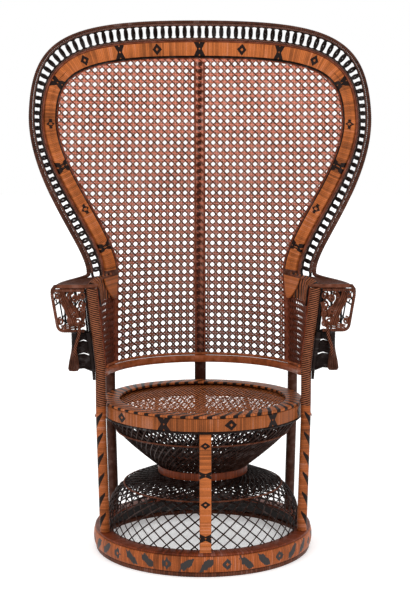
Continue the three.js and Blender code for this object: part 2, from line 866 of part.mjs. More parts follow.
// How far the rail has risen where it runs forward past the rear posts.
function railLift(degrees) {
  const share = Math.max(0, (rearPostAngle - degrees) / (rearPostAngle - frontPostAngle));
  return railRise * Math.min(share, 1) ** 2;
}

function addRail() {
  const inner = railOuterRadius - railDepth;
  const overrun = THREE.MathUtils.radToDeg(postRadius / postAxisRadius);
  const end = frontPostAngle - overrun;
  const sections = [];
  for (let i = 0; i <= fanSteps; i++) {
    const degrees = lerp(end, halfTurn - end, i / fanSteps);
    const lift = railLift(Math.min(degrees, halfTurn - degrees));
    sections.push([
      polar(inner, degrees, railHeight + lift),
      polar(railOuterRadius, degrees, railHeight + lift),
      polar(railOuterRadius, degrees, railTop + lift),
      polar(inner, degrees, railTop + lift),
    ]);
  }
  add("back_rail", loft(sections), "honey");
}

// The sheet's right-hand edge: straight up to the neck, and then inside the inner bead.
function sheetEdge() {
  const edge = [
    [sheetHalfWidth, sheetBottom],
    [sheetHalfWidth, neckTop - beadDiameter],
  ];
  for (let i = fanSteps; i >= 0; i--) {
    edge.push(besideFan(bandSpots, i / fanSteps, sheetEdgeOffset));
  }
  return edge;
}

function addBack() {
  const edge = sheetEdge();
  const polygons = netPolygons(edge, sheetColumnPitch, sheetRowPitch, sheetHoleShare);
  const place = (x, height, face) => backPoint(x, height, (face * sheetThickness) / 2);
  add("back_sheet", piercedSheet(polygons, place), "red");
  const half = bandWidth / 2;
  const shoulder = half - bandCrown * 2;
  const bandSection = [
    [-half, bandDepth / 2],
    [half, bandDepth / 2],
    [half, -bandDepth / 2],
    [shoulder, -bandDepth / 2 - bandCrown],
    [-shoulder, -bandDepth / 2 - bandCrown],
    [-half, -bandDepth / 2],
  ];
  add("back_band", fanBar(bandSpots, bandSection), "honey");
  add("inner_bead", fanBar(bandSpots, roundSection(innerBeadOffset, beadDiameter, beadSides)), "dark");
  add("outer_bead", fanBar(bandSpots, roundSection(outerBeadOffset, beadDiameter, beadSides)), "dark");
  add("rim_hoop", fanBar(rimSpots, roundSection(0, rimDiameter, reedSides)), "brown");
  addLoops();
}

// The border of open loops between the band and the rim hoop.
function addLoops() {
  const count = 2 * fanSteps;
  const polygons = [];
  for (let i = 0; i < count; i++) {
    const side = (1 - loopWidthShare) / 2;
    const hole = [
      [i + 0.5, loopTipShare],
      [i + side, loopShoulderShare],
      [i + side, 1 - loopShoulderShare],
      [i + 0.5, 1 - loopTipShare],
      [i + 1 - side, 1 - loopShoulderShare],
      [i + 1 - side, loopShoulderShare],
    ];
    polygons.push({ outline: rectangle(i, 0, i + 1, 1), hole });
  }
  const place = (u, v, face) => {
    const share = (2 * u) / count - 1;
    const root = besideFan(bandSpots, share, loopRootOffset);
    const tip = besideFan(rimSpots, share, loopTipOffset);
    const [x, height] = root.map((value, axis) => lerp(value, tip[axis], v));
    return backPoint(x, height, (face * loopThickness) / 2);
  };
  add("loop_border", piercedSheet(polygons, place), "dark");
}

// A wing's plan at a height: a shallow curve from the sheet's edge to the front post.
function wingPoint(share, height, out = 0) {
  const rear = backPoint(sheetHalfWidth + wingThickness / 2 + gap, height);
  const front = frontPostAxis(height);
  const axisRadius = Math.hypot(front.x, front.y);
  front.multiplyScalar((axisRadius - postOffset) / axisRadius).setZ(height);
  const spread = radians((rearPostAngle - frontPostAngle) / 2);
  const chord = front.clone().sub(rear);
  const outward = point(-chord.y, chord.x, 0).normalize();
  const bow = sheetRadius * (1 - Math.cos(spread));
  const control = rear.clone().lerp(front, 0.5).addScaledVector(outward, 2 * bow);
  const plan = new THREE.QuadraticBezierCurve3(rear, control, front);
  const along = plan.getTangent(share);
  const spot = plan.getPoint(share);
  return spot.add(point(-along.y, along.x, 0).multiplyScalar(out)).setZ(height);
}

function addWings() {
  const stakeTop = armPostTop;
  const stakeBottom = stakeTop - stakeHeight;
  const wingTop = stakeBottom - gap;
  const wingBottomAt = (share) => {
    const spot = wingPoint(share, railTop);
    const degrees = THREE.MathUtils.radToDeg(Math.atan2(spot.y, spot.x));
    return railTop + railLift(degrees) + 2 * gap;
  };
  const weave = (u, v, face) =>
    wingPoint(u, lerp(wingBottomAt(u), wingTop, v), face > 0 ? 0 : -wingThickness);
  const cells = gridPolygons(wingColumns, wingRows, wingHoleShare);
  addPair("wing_panel", piercedSheet(cells, weave), "red");
  const flutes = [];
  const stakeSteps = stakeCount * stakeSides;
  for (let i = 0; i < stakeSteps; i++) {
    flutes.push({ outline: rectangle(i, 0, i + 1, 1) });
  }
  const fluted = (u, v, face) => {
    const hollow = Math.round(u) % stakeSides === 0 ? 1 - stakeReliefShare : 1;
    const inward = face > 0 ? 0 : -wingThickness * (1 + hollow);
    return wingPoint(u / stakeSteps, lerp(stakeBottom, stakeTop, v), inward);
  };
  addPair("wing_stakes", piercedSheet(flutes, fluted), "brown");
}

// The arm's end outline in its front plane: out over the top, down the side, and back.
function armEndPath() {
  const postEdge = frontPostAxis(armPostTop).x + postRadius;
  const start = postEdge + gap + armEndDiameter / 2;
  const foot = armEndHeight - armDrop;
  const lowReach = armReach - armSlant;
  const corner = (fromX, fromZ, x, z, toX, toZ) =>
    new THREE.QuadraticBezierCurve3(point(fromX, 0, fromZ), point(x, 0, z), point(toX, 0, toZ));
  const path = new THREE.CurvePath();
  const topBend = point(armReach - armCorner, 0, armEndHeight);
  const sideTop = point(armReach, 0, armEndHeight - armCorner);
  const sideFoot = point(lowReach, 0, foot + armCorner);
  const footBend = point(lowReach - armCorner, 0, foot);
  path.add(new THREE.LineCurve3(point(start, 0, armEndHeight), topBend));
  path.add(corner(topBend.x, topBend.z, armReach, armEndHeight, sideTop.x, sideTop.z));
  path.add(new THREE.LineCurve3(sideTop, sideFoot));
  path.add(corner(sideFoot.x, sideFoot.z, lowReach, foot, footBend.x, footBend.z));
  path.add(new THREE.LineCurve3(footBend, point(armReach - armReturn, 0, foot)));
  return path;
}

function addArms() {
  const end = armEndPath();
  const hoopSections = armEndShares.map((share) => {
    const centre = end.getPoint(share);
    const along = end.getTangent(share);
    const across = point(along.z, 0, -along.x);
    const ring = [];
    for (let k = 0; k < poleSides; k++) {
      const angle = (2 * Math.PI * k) / poleSides;
      const spot = centre.clone().addScaledVector(across, (armEndDiameter / 2) * Math.cos(angle));
      ring.push(spot.setY(-armFrontDepth + (armEndDiameter / 2) * Math.sin(angle)));
    }
    return ring;
  });
  addPair("arm_end_hoop", loft(hoopSections), "brown");
  addRests(end);
  addArmRails();
  addScrolls(end);
  addCorbels();
}

// The rolled rest: the end outline drawn back to a small tail beside the rim's foot.
function addRests(end) {
  const front = -armFrontDepth + armEndDiameter / 2 + gap;
  const start = end.getPoint(0);
  const place = (u, v, face) => {
    const share = lerp(0, armEndShares[armEndShares.length - 2], u);
    const spot = end.getPoint(share);
    const along = end.getTangent(share);
    const half = (face * restThickness) / 2;
    const size = lerp(1, restTailShare, v);
    const x = start.x + (spot.x - start.x) * size + half * -along.z;
    const z = armEndHeight + (spot.z - armEndHeight) * size + half * along.x;
    return point(x, lerp(front, restTailDepth, v), z);
  };
  const cells = gridPolygons(restColumns, restRows, restHoleShare);
  addPair("arm_rest", piercedSheet(cells, place), "dark");
}

function addArmRails() {
  const radius = armRailDiameter / 2;
  const innerPath = new THREE.CatmullRomCurve3(
    innerRailShares.map((share) => wingPoint(share, armRailHeight, postOffset * share ** 2)),
  );
  addPair("arm_inner_rail", bar(innerPath, railSteps, radius), "brown");
  const [rimX, rimHeight] = besideFan(rimSpots, 1, 0);
  const rimFoot = backPoint(rimX, rimHeight);
  const reach = armReach - armCorner;
  const outerPath = new THREE.CubicBezierCurve3(
    rimFoot.clone().setZ(rimFoot.z - gap),
    rimFoot.clone().setZ(armRailHeight),
    point(reach, lerp(rimFoot.y, -armFrontDepth, armRailBendShare), armRailHeight),
    point(reach, -armFrontDepth, armRailHeight),
  );
  addPair("arm_outer_rail", bar(outerPath, railSteps, rimDiameter / 2, radius), "brown");
  addArmTops(innerPath, outerPath);
}

// The woven top of each arm, which lies between its two rails.
function addArmTops(innerPath, outerPath) {
  const inset = armRailDiameter / 2 + gap;
  const cells = [];
  for (let i = 0; i < armTopSteps; i++) {
    cells.push({ outline: rectangle(i / armTopSteps, 0, (i + 1) / armTopSteps, 1) });
  }
  const place = (u, v, face) => {
    const share = lerp(...armTopShares, u);
    const inner = innerPath.getPoint(share);
    const outer = outerPath.getPoint(share).setZ(armRailHeight);
    const inward = outer.clone().sub(inner).setLength(inset);
    const [near, far] = [inner.add(inward), outer.sub(inward)];
    return near.lerp(far, v).setZ(armRailHeight + (face * armTopThickness) / 2);
  };
  addPair("arm_top", piercedSheet(cells, place), "brown");
}

// A spiral reed in each arm's end, hung from the top of its hoop.
function addScrolls(end) {
  const reach = (scrollDiameter / 2) * Math.cos(Math.PI / reedSides);
  const top = armEndHeight - armEndDiameter / 2 - gap - reach;
  const startEdge = end.getPoint(0).x - armEndDiameter / 2;
  const room = armReach - armEndDiameter / 2 - startEdge - scrollSideClearance;
  const scrollRadius = (room - scrollDiameter) / 2;
  const centreX = startEdge + scrollRadius + scrollDiameter / 2;
  const tallRadius = (armDrop - armEndDiameter - scrollDiameter - scrollFootClearance) / 2;
  const centreZ = top - tallRadius;
  const spots = [];
  for (let i = 0; i <= scrollSteps; i++) {
    const share = i / scrollSteps;
    const radius = lerp(scrollRadius, scrollHeart, share);
    const turn = Math.PI / 2 - share * scrollTurns * 2 * Math.PI;
    const rise = radius * (tallRadius / scrollRadius) * Math.sin(turn);
    spots.push(point(centreX + radius * Math.cos(turn), -armFrontDepth, centreZ + rise));
  }
  const spiral = new THREE.CatmullRomCurve3(spots);
  addPair("arm_scroll", bar(spiral, scrollSteps, scrollDiameter / 2), "dark");
}

// Under each arm hang a tapered corbel, which leans outwards, and a brace along the post.
function addCorbels() {
  const top = armEndHeight - armDrop - armEndDiameter / 2 - gap;
  const stations = [
    [corbelFootRadius, corbelLength],
    [corbelNeckRadius, corbelLength * corbelNeckShare],
    [corbelTopRadius, 0],
  ];
  const lean = (drop) => (drop / corbelLength) * corbelLean;
  const sections = stations.map(([radius, drop]) =>
    roundOutline(radius, 0, corbelSides).map(([dx, dy]) =>
      point(corbelOffset + dx + lean(drop), -armFrontDepth + dy, top - drop),
    ),
  );
  addPair("arm_corbel", loft(sections), "dark");
  const tip = splayFloor - braceTipDrop;
  const braceStations = [tip, splayFloor, top].map((height) => {
    const share = (height - tip) / (top - tip);
    const radius = lerp(braceTipRadius, braceTopRadius, share);
    const beside = polar(postRadius + gap + radius, frontPostAngle, 0);
    return { centre: frontPostAxis(height).add(beside), radius };
  });
  const braceSections = braceStations.map(({ centre, radius }) =>
    roundOutline(radius, frontPostAngle).map(([dx, dy]) =>
      point(centre.x + dx, centre.y + dy, centre.z),
    ),
  );
  addPair("arm_brace", loft(braceSections), "dark");
}

addBaseRing();
addHourglass();
addSeat();
addPosts();
addRail();
addBack();
addWings();
addArms();

// The origin goes under the middle of the whole chair.
const bounds = new THREE.Box3().setFromObject(chair);
chair.position.y = -(bounds.min.y + bounds.max.y) / 2;

export default chair;
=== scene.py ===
"""A wicker peacock chair: the woven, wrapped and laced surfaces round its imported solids."""

import math

import bpy
import numpy as np
from bpy.props import FloatProperty, FloatVectorProperty, IntProperty, PointerProperty
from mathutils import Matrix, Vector


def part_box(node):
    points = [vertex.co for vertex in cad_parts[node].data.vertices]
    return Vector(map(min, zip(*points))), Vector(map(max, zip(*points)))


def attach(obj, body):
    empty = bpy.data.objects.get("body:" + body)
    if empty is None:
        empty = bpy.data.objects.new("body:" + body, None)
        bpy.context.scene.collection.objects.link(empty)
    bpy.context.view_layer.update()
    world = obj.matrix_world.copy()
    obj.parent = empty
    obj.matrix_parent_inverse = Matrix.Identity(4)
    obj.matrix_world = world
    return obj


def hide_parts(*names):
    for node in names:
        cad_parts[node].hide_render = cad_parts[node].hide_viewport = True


bl_info = {
    "name": "Peacock Chair",
    "version": (1, 0, 0),
    "blender": (4, 5, 0),
    "location": "View3D > Sidebar > Chair",
    "description": "Weaves, wraps and laces a peacock chair round its packed solids",
    "category": "Object",
}

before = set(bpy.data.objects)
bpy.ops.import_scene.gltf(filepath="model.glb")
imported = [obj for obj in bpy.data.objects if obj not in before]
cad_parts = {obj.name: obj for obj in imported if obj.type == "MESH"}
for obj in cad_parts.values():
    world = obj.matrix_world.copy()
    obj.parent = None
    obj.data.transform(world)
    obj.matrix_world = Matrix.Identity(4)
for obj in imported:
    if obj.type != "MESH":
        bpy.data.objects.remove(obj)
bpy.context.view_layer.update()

# Lengths are metres. Places that the frame gives are read from it.
MM = 0.001
CLEARANCE = 0.3 * MM
WELD = 0.02 * MM
SMOOTH_ANGLE = math.radians(60)
DRUM_LOW, DRUM_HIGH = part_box("seat_drum")
LEDGE_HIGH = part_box("base_ledge")[1]
WAIST_LOW, WAIST_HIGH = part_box("waist_band")
LASHING_LOW, LASHING_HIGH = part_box("post_lashing_right")
AXIS_Y = (DRUM_LOW.y + DRUM_HIGH.y) / 2
SEAT_RADIUS = DRUM_HIGH.x
STAND_HEIGHT = LEDGE_HIGH.z + CLEARANCE
RAIL_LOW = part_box("back_rail")[0].z
RAIL_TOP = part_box("back_sheet")[0].z - CLEARANCE
CROWN_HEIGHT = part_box("back_sheet")[1].z

# The woven sheet of the back stands this far from the seat's axis at its foot.
SHEET_RADIUS = SEAT_RADIUS + 1.3 * MM

# Posts, as angles about the seat's axis and radii from it.
POST_RADIUS = 14 * MM
POST_FACE_RADIUS = SEAT_RADIUS + 3.6 * MM
POST_AXIS_RADIUS = POST_FACE_RADIUS + POST_RADIUS
POST_BASE_RADIUS = LEDGE_HIGH.x - 17 * MM
ARM_POST_RADIUS = SEAT_RADIUS + 41.5 * MM
FRONT_POST_ANGLE = -18.5
REAR_POST_ANGLE = 25
REAR_POST_HALF_WIDTH = 250 * MM
RAIL_RISE = 22 * MM
SPLAY_FLOOR = RAIL_TOP + RAIL_RISE
POST_BEHIND_SHEET = POST_AXIS_RADIUS - SHEET_RADIUS

# The back's curved surface.
SHEET_HALF_WIDTH = 247 * MM
BACK_LEAN = math.radians(7)
ARM_HEIGHT = 750 * MM
FLARE_FLOOR = ARM_HEIGHT - 110 * MM
FLARE_LENGTH = 440 * MM
BAND_WIDTH = 41 * MM
BAND_SIDE_WIDTH = 29 * MM
BAND_SLIM_SHARES = (0.3, 0.52)
BEAD_DIAMETER = 6 * MM
BEAD_OFFSET = BAND_WIDTH / 2 + CLEARANCE + BEAD_DIAMETER / 2
SHEET_EDGE_OFFSET = -(BEAD_OFFSET + BEAD_DIAMETER / 2)
RIM_DIAMETER = 10 * MM

# Arms, in the plane of their front ends.
ARM_POST_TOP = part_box("front_post_right")[1].z
ARM_PLANE_Y = AXIS_Y - 107 * MM
ARM_END_DIAMETER = 9 * MM
ARM_END_HEIGHT = ARM_POST_TOP - ARM_END_DIAMETER / 2
ARM_REACH = ARM_POST_RADIUS + 90.5 * MM
ARM_DROP = 110 * MM
ARM_SLANT = 18 * MM
ARM_CORNER = 16 * MM
ARM_RETURN = 88 * MM
ARM_TAIL_Y = AXIS_Y + 112 * MM
ARM_TAIL_SHARE = 0.3
ARM_LOW_HEIGHT = ARM_END_HEIGHT - ARM_DROP


def lerp(a, b, share):
    return a + (b - a) * share


def halves(low, high):
    """The middle between two values, and half the distance between them."""
    return (low + high) / 2, (high - low) / 2


def ray(radius, angle):
    """A level vector of a length, turned by an angle in radians."""
    return Vector((radius * math.cos(angle), radius * math.sin(angle), 0))


def bezier(a, b, c, d, steps=200):
    """Points along a cubic curve, as rows of (x, height)."""
    t = np.linspace(0, 1, steps)[:, None]
    a, b, c, d = (np.array(spot, float) for spot in (a, b, c, d))
    return (1 - t) ** 3 * a + 3 * (1 - t) ** 2 * t * b + 3 * (1 - t) * t * t * c + t**3 * d


class FanLine:
    """An outline of the fan back, the same on both sides, measured by its length."""

    def __init__(self, neck, wide, crown, handles, side_loss=0.0):
        neck_handle, wide_handle, crown_handle = handles
        self.side_loss = side_loss
        lower, upper = wide[1] - neck[1], crown - wide[1]
        over = bezier(
            (0, crown),
            (wide[0] * crown_handle, crown),
            (wide[0], wide[1] + upper * crown_handle),
            wide,
        )
        down = bezier(
            wide,
            (wide[0], wide[1] - lower * wide_handle),
            (neck[0], neck[1] + lower * neck_handle),
            neck,
        )
        self.spots = np.vstack([over, down[1:]])
        steps = np.hypot(*np.diff(self.spots, axis=0).T)
        self.lengths = np.concatenate([[0], np.cumsum(steps)])
        tangents = np.gradient(self.spots, axis=0)
        tangents /= np.linalg.norm(tangents, axis=1)[:, None]
        self.normals = np.stack([-tangents[:, 1], tangents[:, 0]], axis=1)
        self.length = 2 * self.lengths[-1]

    def slimming(self, share):
        """How much less everything beside the line stands off it, where it is slim."""
        first, last = BAND_SLIM_SHARES
        slim = min(max((abs(share) - first) / (last - first), 0), 1)
        return self.side_loss * slim * slim * (3 - 2 * slim)

    def gaps_to(self, other, offset):
        """Shares along this line, and the offsets there that reach another line's side."""
        gaps = {}
        for step in range(201):
            spot = np.array(other.beside(step / 200, offset))
            away = np.hypot(*(self.spots - spot).T)
            nearest = int(np.argmin(away))
            share = self.lengths[nearest] / self.lengths[-1]
            gaps[share] = away[nearest] + self.slimming(share)
        shares = sorted(gaps)
        return shares, [gaps[share] for share in shares]

    def beside(self, share, offset=0.0):
        """(x, height) off the line, for a share from -1 at the left neck to 1 at the right."""
        reach = min(abs(share), 1) * self.lengths[-1]
        offset -= math.copysign(self.slimming(share), offset)
        x, z = (np.interp(reach, self.lengths, self.spots[:, k]) for k in (0, 1))
        nx, nz = (np.interp(reach, self.lengths, self.normals[:, k]) for k in (0, 1))
        return math.copysign(1, share) * (x + nx * offset), z + nz * offset


BAND_LINE = FanLine(
    (0.267, 0.745), (0.444, 1.202), 1.413, (0.26, 0.34, 0.80), (BAND_WIDTH - BAND_SIDE_WIDTH) / 2
)
RIM_LINE = FanLine((0.323, 0.758), (0.496, 1.218), 1.495, (0.16, 0.42, 0.80))


def on_axis(radius, degrees, height):
    """A point about the seat's axis: 0 degrees is the chair's right, and -90 its front."""
    angle = math.radians(degrees)
    return Vector((radius * math.cos(angle), AXIS_Y + radius * math.sin(angle), height))


def back_point(x, height, out=0.0):
    """A point of the back's surface, or one behind it by a distance."""
    lean = max(height - RAIL_TOP, 0) * math.tan(BACK_LEAN)
    radius = SHEET_RADIUS * math.exp(max(height - FLARE_FLOOR, 0) / FLARE_LENGTH)
    side = x / radius
    depth = math.sqrt(1 - side * side)
    y = AXIS_Y + SHEET_RADIUS + lean - radius * (1 - depth)
    return Vector((x + out * side, y + out * depth, height))


def fan_point(line, share, offset=0.0, out=0.0):
    return back_point(*line.beside(share, offset), out)


def front_post_axis(height):
    """The front post's middle: upright to the rail, and then splayed to the arm."""
    if height > SPLAY_FLOOR:
        share = (height - SPLAY_FLOOR) / (ARM_POST_TOP - SPLAY_FLOOR)
        return on_axis(lerp(POST_AXIS_RADIUS, ARM_POST_RADIUS, share), FRONT_POST_ANGLE, height)
    share = min((height - STAND_HEIGHT) / (DRUM_LOW.z - STAND_HEIGHT), 1)
    return on_axis(lerp(POST_BASE_RADIUS, POST_AXIS_RADIUS, share), FRONT_POST_ANGLE, height)


def rear_post_axis(height):
    """The rear post's middle: upright to the rail, and then behind the woven sheet."""
    if height > RAIL_TOP:
        return back_point(REAR_POST_HALF_WIDTH, height, POST_BEHIND_SHEET)
    top = back_point(REAR_POST_HALF_WIDTH, RAIL_TOP, POST_BEHIND_SHEET)
    degrees = math.degrees(math.atan2(top.y - AXIS_Y, top.x))
    share = min((height - STAND_HEIGHT) / (DRUM_LOW.z - STAND_HEIGHT), 1)
    return on_axis(lerp(POST_BASE_RADIUS, POST_AXIS_RADIUS, share), degrees, height)


def rail_lift(degrees):
    """How far the rail has risen where it runs forward past a rear post."""
    share = (REAR_POST_ANGLE - degrees) / (REAR_POST_ANGLE - FRONT_POST_ANGLE)
    return RAIL_RISE * min(max(share, 0), 1) ** 2


def wing_rail_top(share):
    """The height of the rail's top at a share along the wing."""
    spot = wing_point(share, RAIL_TOP)
    return RAIL_TOP + rail_lift(math.degrees(math.atan2(spot.y - AXIS_Y, spot.x)))


def wing_point(share, height, out=0.0):
    """A point of the right wing, from the sheet's edge at 0 to the front post at 1."""
    rear = back_point(SHEET_HALF_WIDTH + 2.8 * MM, height)
    front = front_post_axis(height)
    inward = Vector((front.x, front.y - AXIS_Y, 0)).normalized()
    front -= inward * POST_BEHIND_SHEET
    chord = front - rear
    outward = Vector((-chord.y, chord.x, 0)).normalized()
    spread = math.radians((REAR_POST_ANGLE - FRONT_POST_ANGLE) / 2)
    control = (rear + front) / 2 + outward * 2 * SHEET_RADIUS * (1 - math.cos(spread))
    along = (control - rear).lerp(front - control, share).normalized()
    spot = rear.lerp(control, share).lerp(control.lerp(front, share), share)
    return spot + Vector((-along.y, along.x, 0)) * out


def evenly(corners, count):
    """Points spaced evenly by length along a line through corners."""
    corners = np.array([list(corner) for corner in corners], float)
    lengths = np.concatenate([[0], np.cumsum(np.linalg.norm(np.diff(corners, axis=0), axis=1))])
    reach = np.linspace(0, lengths[-1], count)
    return [Vector([np.interp(r, lengths, axis) for axis in corners.T]) for r in reach]


def rounded(corners, radius, closed=True, steps=3):
    """An outline of (a, b) corners with each corner rounded off."""
    spots = []
    count = len(corners)
    for i, corner in enumerate(corners):
        if not closed and i in (0, count - 1):
            spots.append(tuple(corner))
            continue
        here = Vector(corner)
        before, after = Vector(corners[i - 1]) - here, Vector(corners[(i + 1) % count]) - here
        start = here + before.normalized() * min(radius, before.length / 2)
        end = here + after.normalized() * min(radius, after.length / 2)
        for k in range(steps + 1):
            t = k / steps
            spots.append(tuple(start.lerp(here, t).lerp(here.lerp(end, t), t)))
    return spots


def box_section(low, high, radius, steps=3):
    """A rounded rectangle's outline, between its (a, b) corners."""
    return rounded([low, (high[0], low[1]), high, (low[0], high[1])], radius, steps=steps)


def around(outline, share):
    """A corner of a closed outline, for a share from 0 to 1 round it."""
    return outline[round(share * len(outline)) % len(outline)]


class Shade:
    """A number or colour that varies over a surface: a node's output, used in sums."""

    def __init__(self, finish, socket):
        self.finish = finish
        self.socket = socket

    def math(self, operation, *others):
        inputs = dict(enumerate((self, *others)))
        return self.finish.node("ShaderNodeMath", {"operation": operation}, inputs)

    def __add__(self, other):
        return self.math("ADD", other)

    def __sub__(self, other):
        return self.math("SUBTRACT", other)

    def __mul__(self, other):
        return self.math("MULTIPLY", other)

    def __truediv__(self, other):
        return self.math("DIVIDE", other)

    def __pow__(self, other):
        return self.math("POWER", other)

    def __radd__(self, other):
        return self.math("ADD", other)

    def __rsub__(self, other):
        return self.math("MULTIPLY_ADD", -1.0, other)

    def __abs__(self):
        return self.math("ABSOLUTE")

    def below(self, limit):
        return self.math("LESS_THAN", limit)

    def above(self, limit):
        return self.math("GREATER_THAN", limit)

    def floor(self):
        return self.math("FLOOR")

    def fraction(self):
        return self.math("FRACT")

    def either(self, other):
        return self.math("MAXIMUM", other)

    def ramp(self, *stops):
        """Colours or greys at places from 0 to 1 along this value."""
        return self.finish.node("ShaderNodeValToRGB", {"stops": stops}, {"Fac": self})


class Finish:
    """One material, with its node tree written as expressions, and its record slot."""

    def __init__(self, name, slot, roughness=0.45, coat=0.0):
        self.slot = slot
        self.material = bpy.data.materials.new(name)
        self.material.use_nodes = True
        self.tree = self.material.node_tree
        self.shader = self.tree.nodes["Principled BSDF"]
        self.shader.inputs["Roughness"].default_value = roughness
        self.shader.inputs["Coat Weight"].default_value = coat
        self.shader.inputs["Coat Roughness"].default_value = 0.3
        self.shader.inputs["Specular IOR Level"].default_value = 0.07

    def feed(self, socket, value):
        if isinstance(value, Shade):
            self.tree.links.new(value.socket, socket)
        elif isinstance(value, (tuple, list)) and socket.type == "RGBA":
            socket.default_value = (*value[:3], 1)
        else:
            socket.default_value = value

    def node(self, kind, settings=None, inputs=None, output=0):
        """A node of a kind, with its settings and its sockets' values or links."""
        made = self.tree.nodes.new(kind)
        for name, value in (settings or {}).items():
            if name == "stops":
                self.set_stops(made.color_ramp, value)
            else:
                setattr(made, name, value)
        for socket, value in (inputs or {}).items():
            self.feed(made.inputs[socket], value)
        return Shade(self, made.outputs[output])

    def set_stops(self, ramp, stops):
        while len(ramp.elements) < len(stops):
            ramp.elements.new(1)
        for element, (place, colour) in zip(ramp.elements, stops):
            element.position = place
            element.color = (*(colour if isinstance(colour, tuple) else (colour,) * 3), 1)

    def object_point(self):
        return self.node("ShaderNodeTexCoord", output="Object")

    def uv(self, name):
        """The two numbers of one of the piece's own UV maps."""
        pair = self.node("ShaderNodeUVMap", {"uv_map": name})
        parts = self.node("ShaderNodeSeparateXYZ", inputs={0: pair})
        return parts, Shade(self, parts.socket.node.outputs[1])

    def noise(self, scale, detail=3):
        inputs = {"Vector": self.object_point(), "Scale": scale, "Detail": detail}
        return self.node("ShaderNodeTexNoise", inputs=inputs)

    def chance(self, number):
        """An even random value for each whole number."""
        inputs = {"W": number}
        return self.node("ShaderNodeTexWhiteNoise", {"noise_dimensions": "1D"}, inputs)

    def mix(self, share, first, second, blend_type="MIX"):
        """One colour at a share of 0 and below, another at 1 and above, and blends between."""
        settings = {"data_type": "RGBA", "blend_type": blend_type}
        return self.node("ShaderNodeMix", settings, {0: share, 6: first, 7: second}, output=2)

    def colour(self, value):
        self.feed(self.shader.inputs["Base Color"], value)

    def roughness(self, value):
        self.feed(self.shader.inputs["Roughness"], value)

    def bump(self, height, distance, strength=1.0):
        inputs = {"Height": height, "Distance": distance, "Strength": strength}
        normal = self.node("ShaderNodeBump", inputs=inputs)
        self.feed(self.shader.inputs["Normal"], normal)


def darker(colour, share):
    return tuple(channel * share for channel in colour)


def lighter(colour, share):
    return tuple(channel + (1 - channel) * share for channel in colour)


def blend(first, second, share):
    return tuple(lerp(a, b, share) for a, b in zip(first, second))


def wrapped_cane(name, slot, colour, seams=8, inlay=None, inlay_colour=None):
    """Cane strips laid side by side: each its own tone, with a dark seam between them."""
    finish = Finish(name, slot, coat=0.06)
    along, _across = finish.uv("UVMap")
    seam = (abs(along.fraction() - 0.5) * 2) ** seams
    tone = finish.chance(along.floor()) * 0.3 + finish.noise(7, 4) * 0.9 - 0.1
    body = tone.ramp(
        (0.22, darker(colour, 0.45)),
        (0.45, colour),
        (0.6, darker(colour, 1.3)),
        (0.8, lighter(darker(colour, 1.35), 0.08)),
    )
    fibre = finish.noise(420, 2).ramp((0.3, 0.72), (0.7, 1.0))
    body = finish.mix(1.0, body, fibre, "MULTIPLY")
    body = finish.mix(seam * 0.75, body, darker(colour, 0.12))
    if inlay:
        body = finish.mix(inlay(finish, along.floor()), body, inlay_colour)
    finish.colour(body)
    finish.roughness(0.28 + finish.noise(60) * 0.25)
    finish.bump(1 - seam, 0.5 * MM, 0.6)
    return finish


def diamonds_and_crosses(finish, strip):
    """Inlay on UV map "inlay": a cross at each even number along, a diamond at each odd one."""
    along, across = finish.uv("inlay")
    across += finish.chance(strip) * 0.08 - 0.04
    cross_x = abs((along * 0.5 + 0.5).fraction() - 0.5) * 2
    diamond_x = abs((along * 0.5).fraction() - 0.5) * 2
    height = abs(across)
    arms = abs(cross_x * 8 - height * 0.6).below(0.46) * cross_x.below(0.15)
    arms = arms * (cross_x * 8 + height).above(0.16)
    ring = diamond_x * 7 + height * 0.95
    diamond = ring.below(0.85) * ring.above(0.25)
    return arms.either(diamond)


# A place across the inlay past the piece's face: the hidden inner side, which is painted dark as
# shade.
SHADED_INNER_SIDE = 3


def diamonds_and_leaves(finish, strip):
    """Inlay on UV map "inlay": by sixes, a diamond, two leaves, a diamond and two back, and painted
    shade on the inner side.
    """
    along, across = finish.uv("inlay")
    place = (along + 0.5).fraction() - 0.5
    number = (along + 0.5).floor()
    third = (number / 3).fraction().below(0.17)
    ragged = finish.chance(strip) * 0.36 - 0.18
    ring = abs(place) * 3.1 + abs(across) * 1.15 + ragged
    diamond = third * ring.below(0.85) * ring.above(0.25)
    lean = (number / 6).fraction().above(0.5) * 2 - 1
    width = 0.27 - abs(across) * 0.15 + ragged * 0.3
    leaf = (1 - third) * abs(place - lean * across * 0.3).below(width)
    leaf = leaf * (abs(across) + ragged).below(0.8)
    # Painted shade: the hidden inner side takes the dark inlay colour.
    lining = across.above(SHADED_INNER_SIDE - 1)
    return diamond.either(leaf).either(lining)


def outer_dashes(finish, _strip):
    """Dark dashes that climb the outer side of a post."""
    along, across = finish.uv("inlay")
    dash = abs((along + across * 1.1).fraction() - 0.5).below(0.24 - abs(across) * 0.4)
    return dash * abs(across).below(0.42)


def diagonal_stripes(finish, _strip):
    """Dark strips laid aslant over a rim."""
    along, across = finish.uv("inlay")
    return abs((along + across * 1.2).fraction() - 0.5).below(0.21)


def wound_cord(name, slot, light, shadow):
    """Cord wound closely and aslant: a painted highlight along each turn and painted shade between
    turns.
    """
    finish = Finish(name, slot)
    along, across = finish.uv("UVMap")
    edge = abs((along - across * 4).fraction() - 0.5) * 2
    tone = edge + finish.noise(110, 2) * 0.7 - 0.35
    # A painted highlight at the middle of each turn, and painted shade towards its edges.
    finish.colour(tone.ramp((0.2, light), (0.45, blend(light, shadow, 0.6)), (0.65, shadow)))
    finish.bump(1 - edge, 1.2 * MM, 0.8)
    return finish


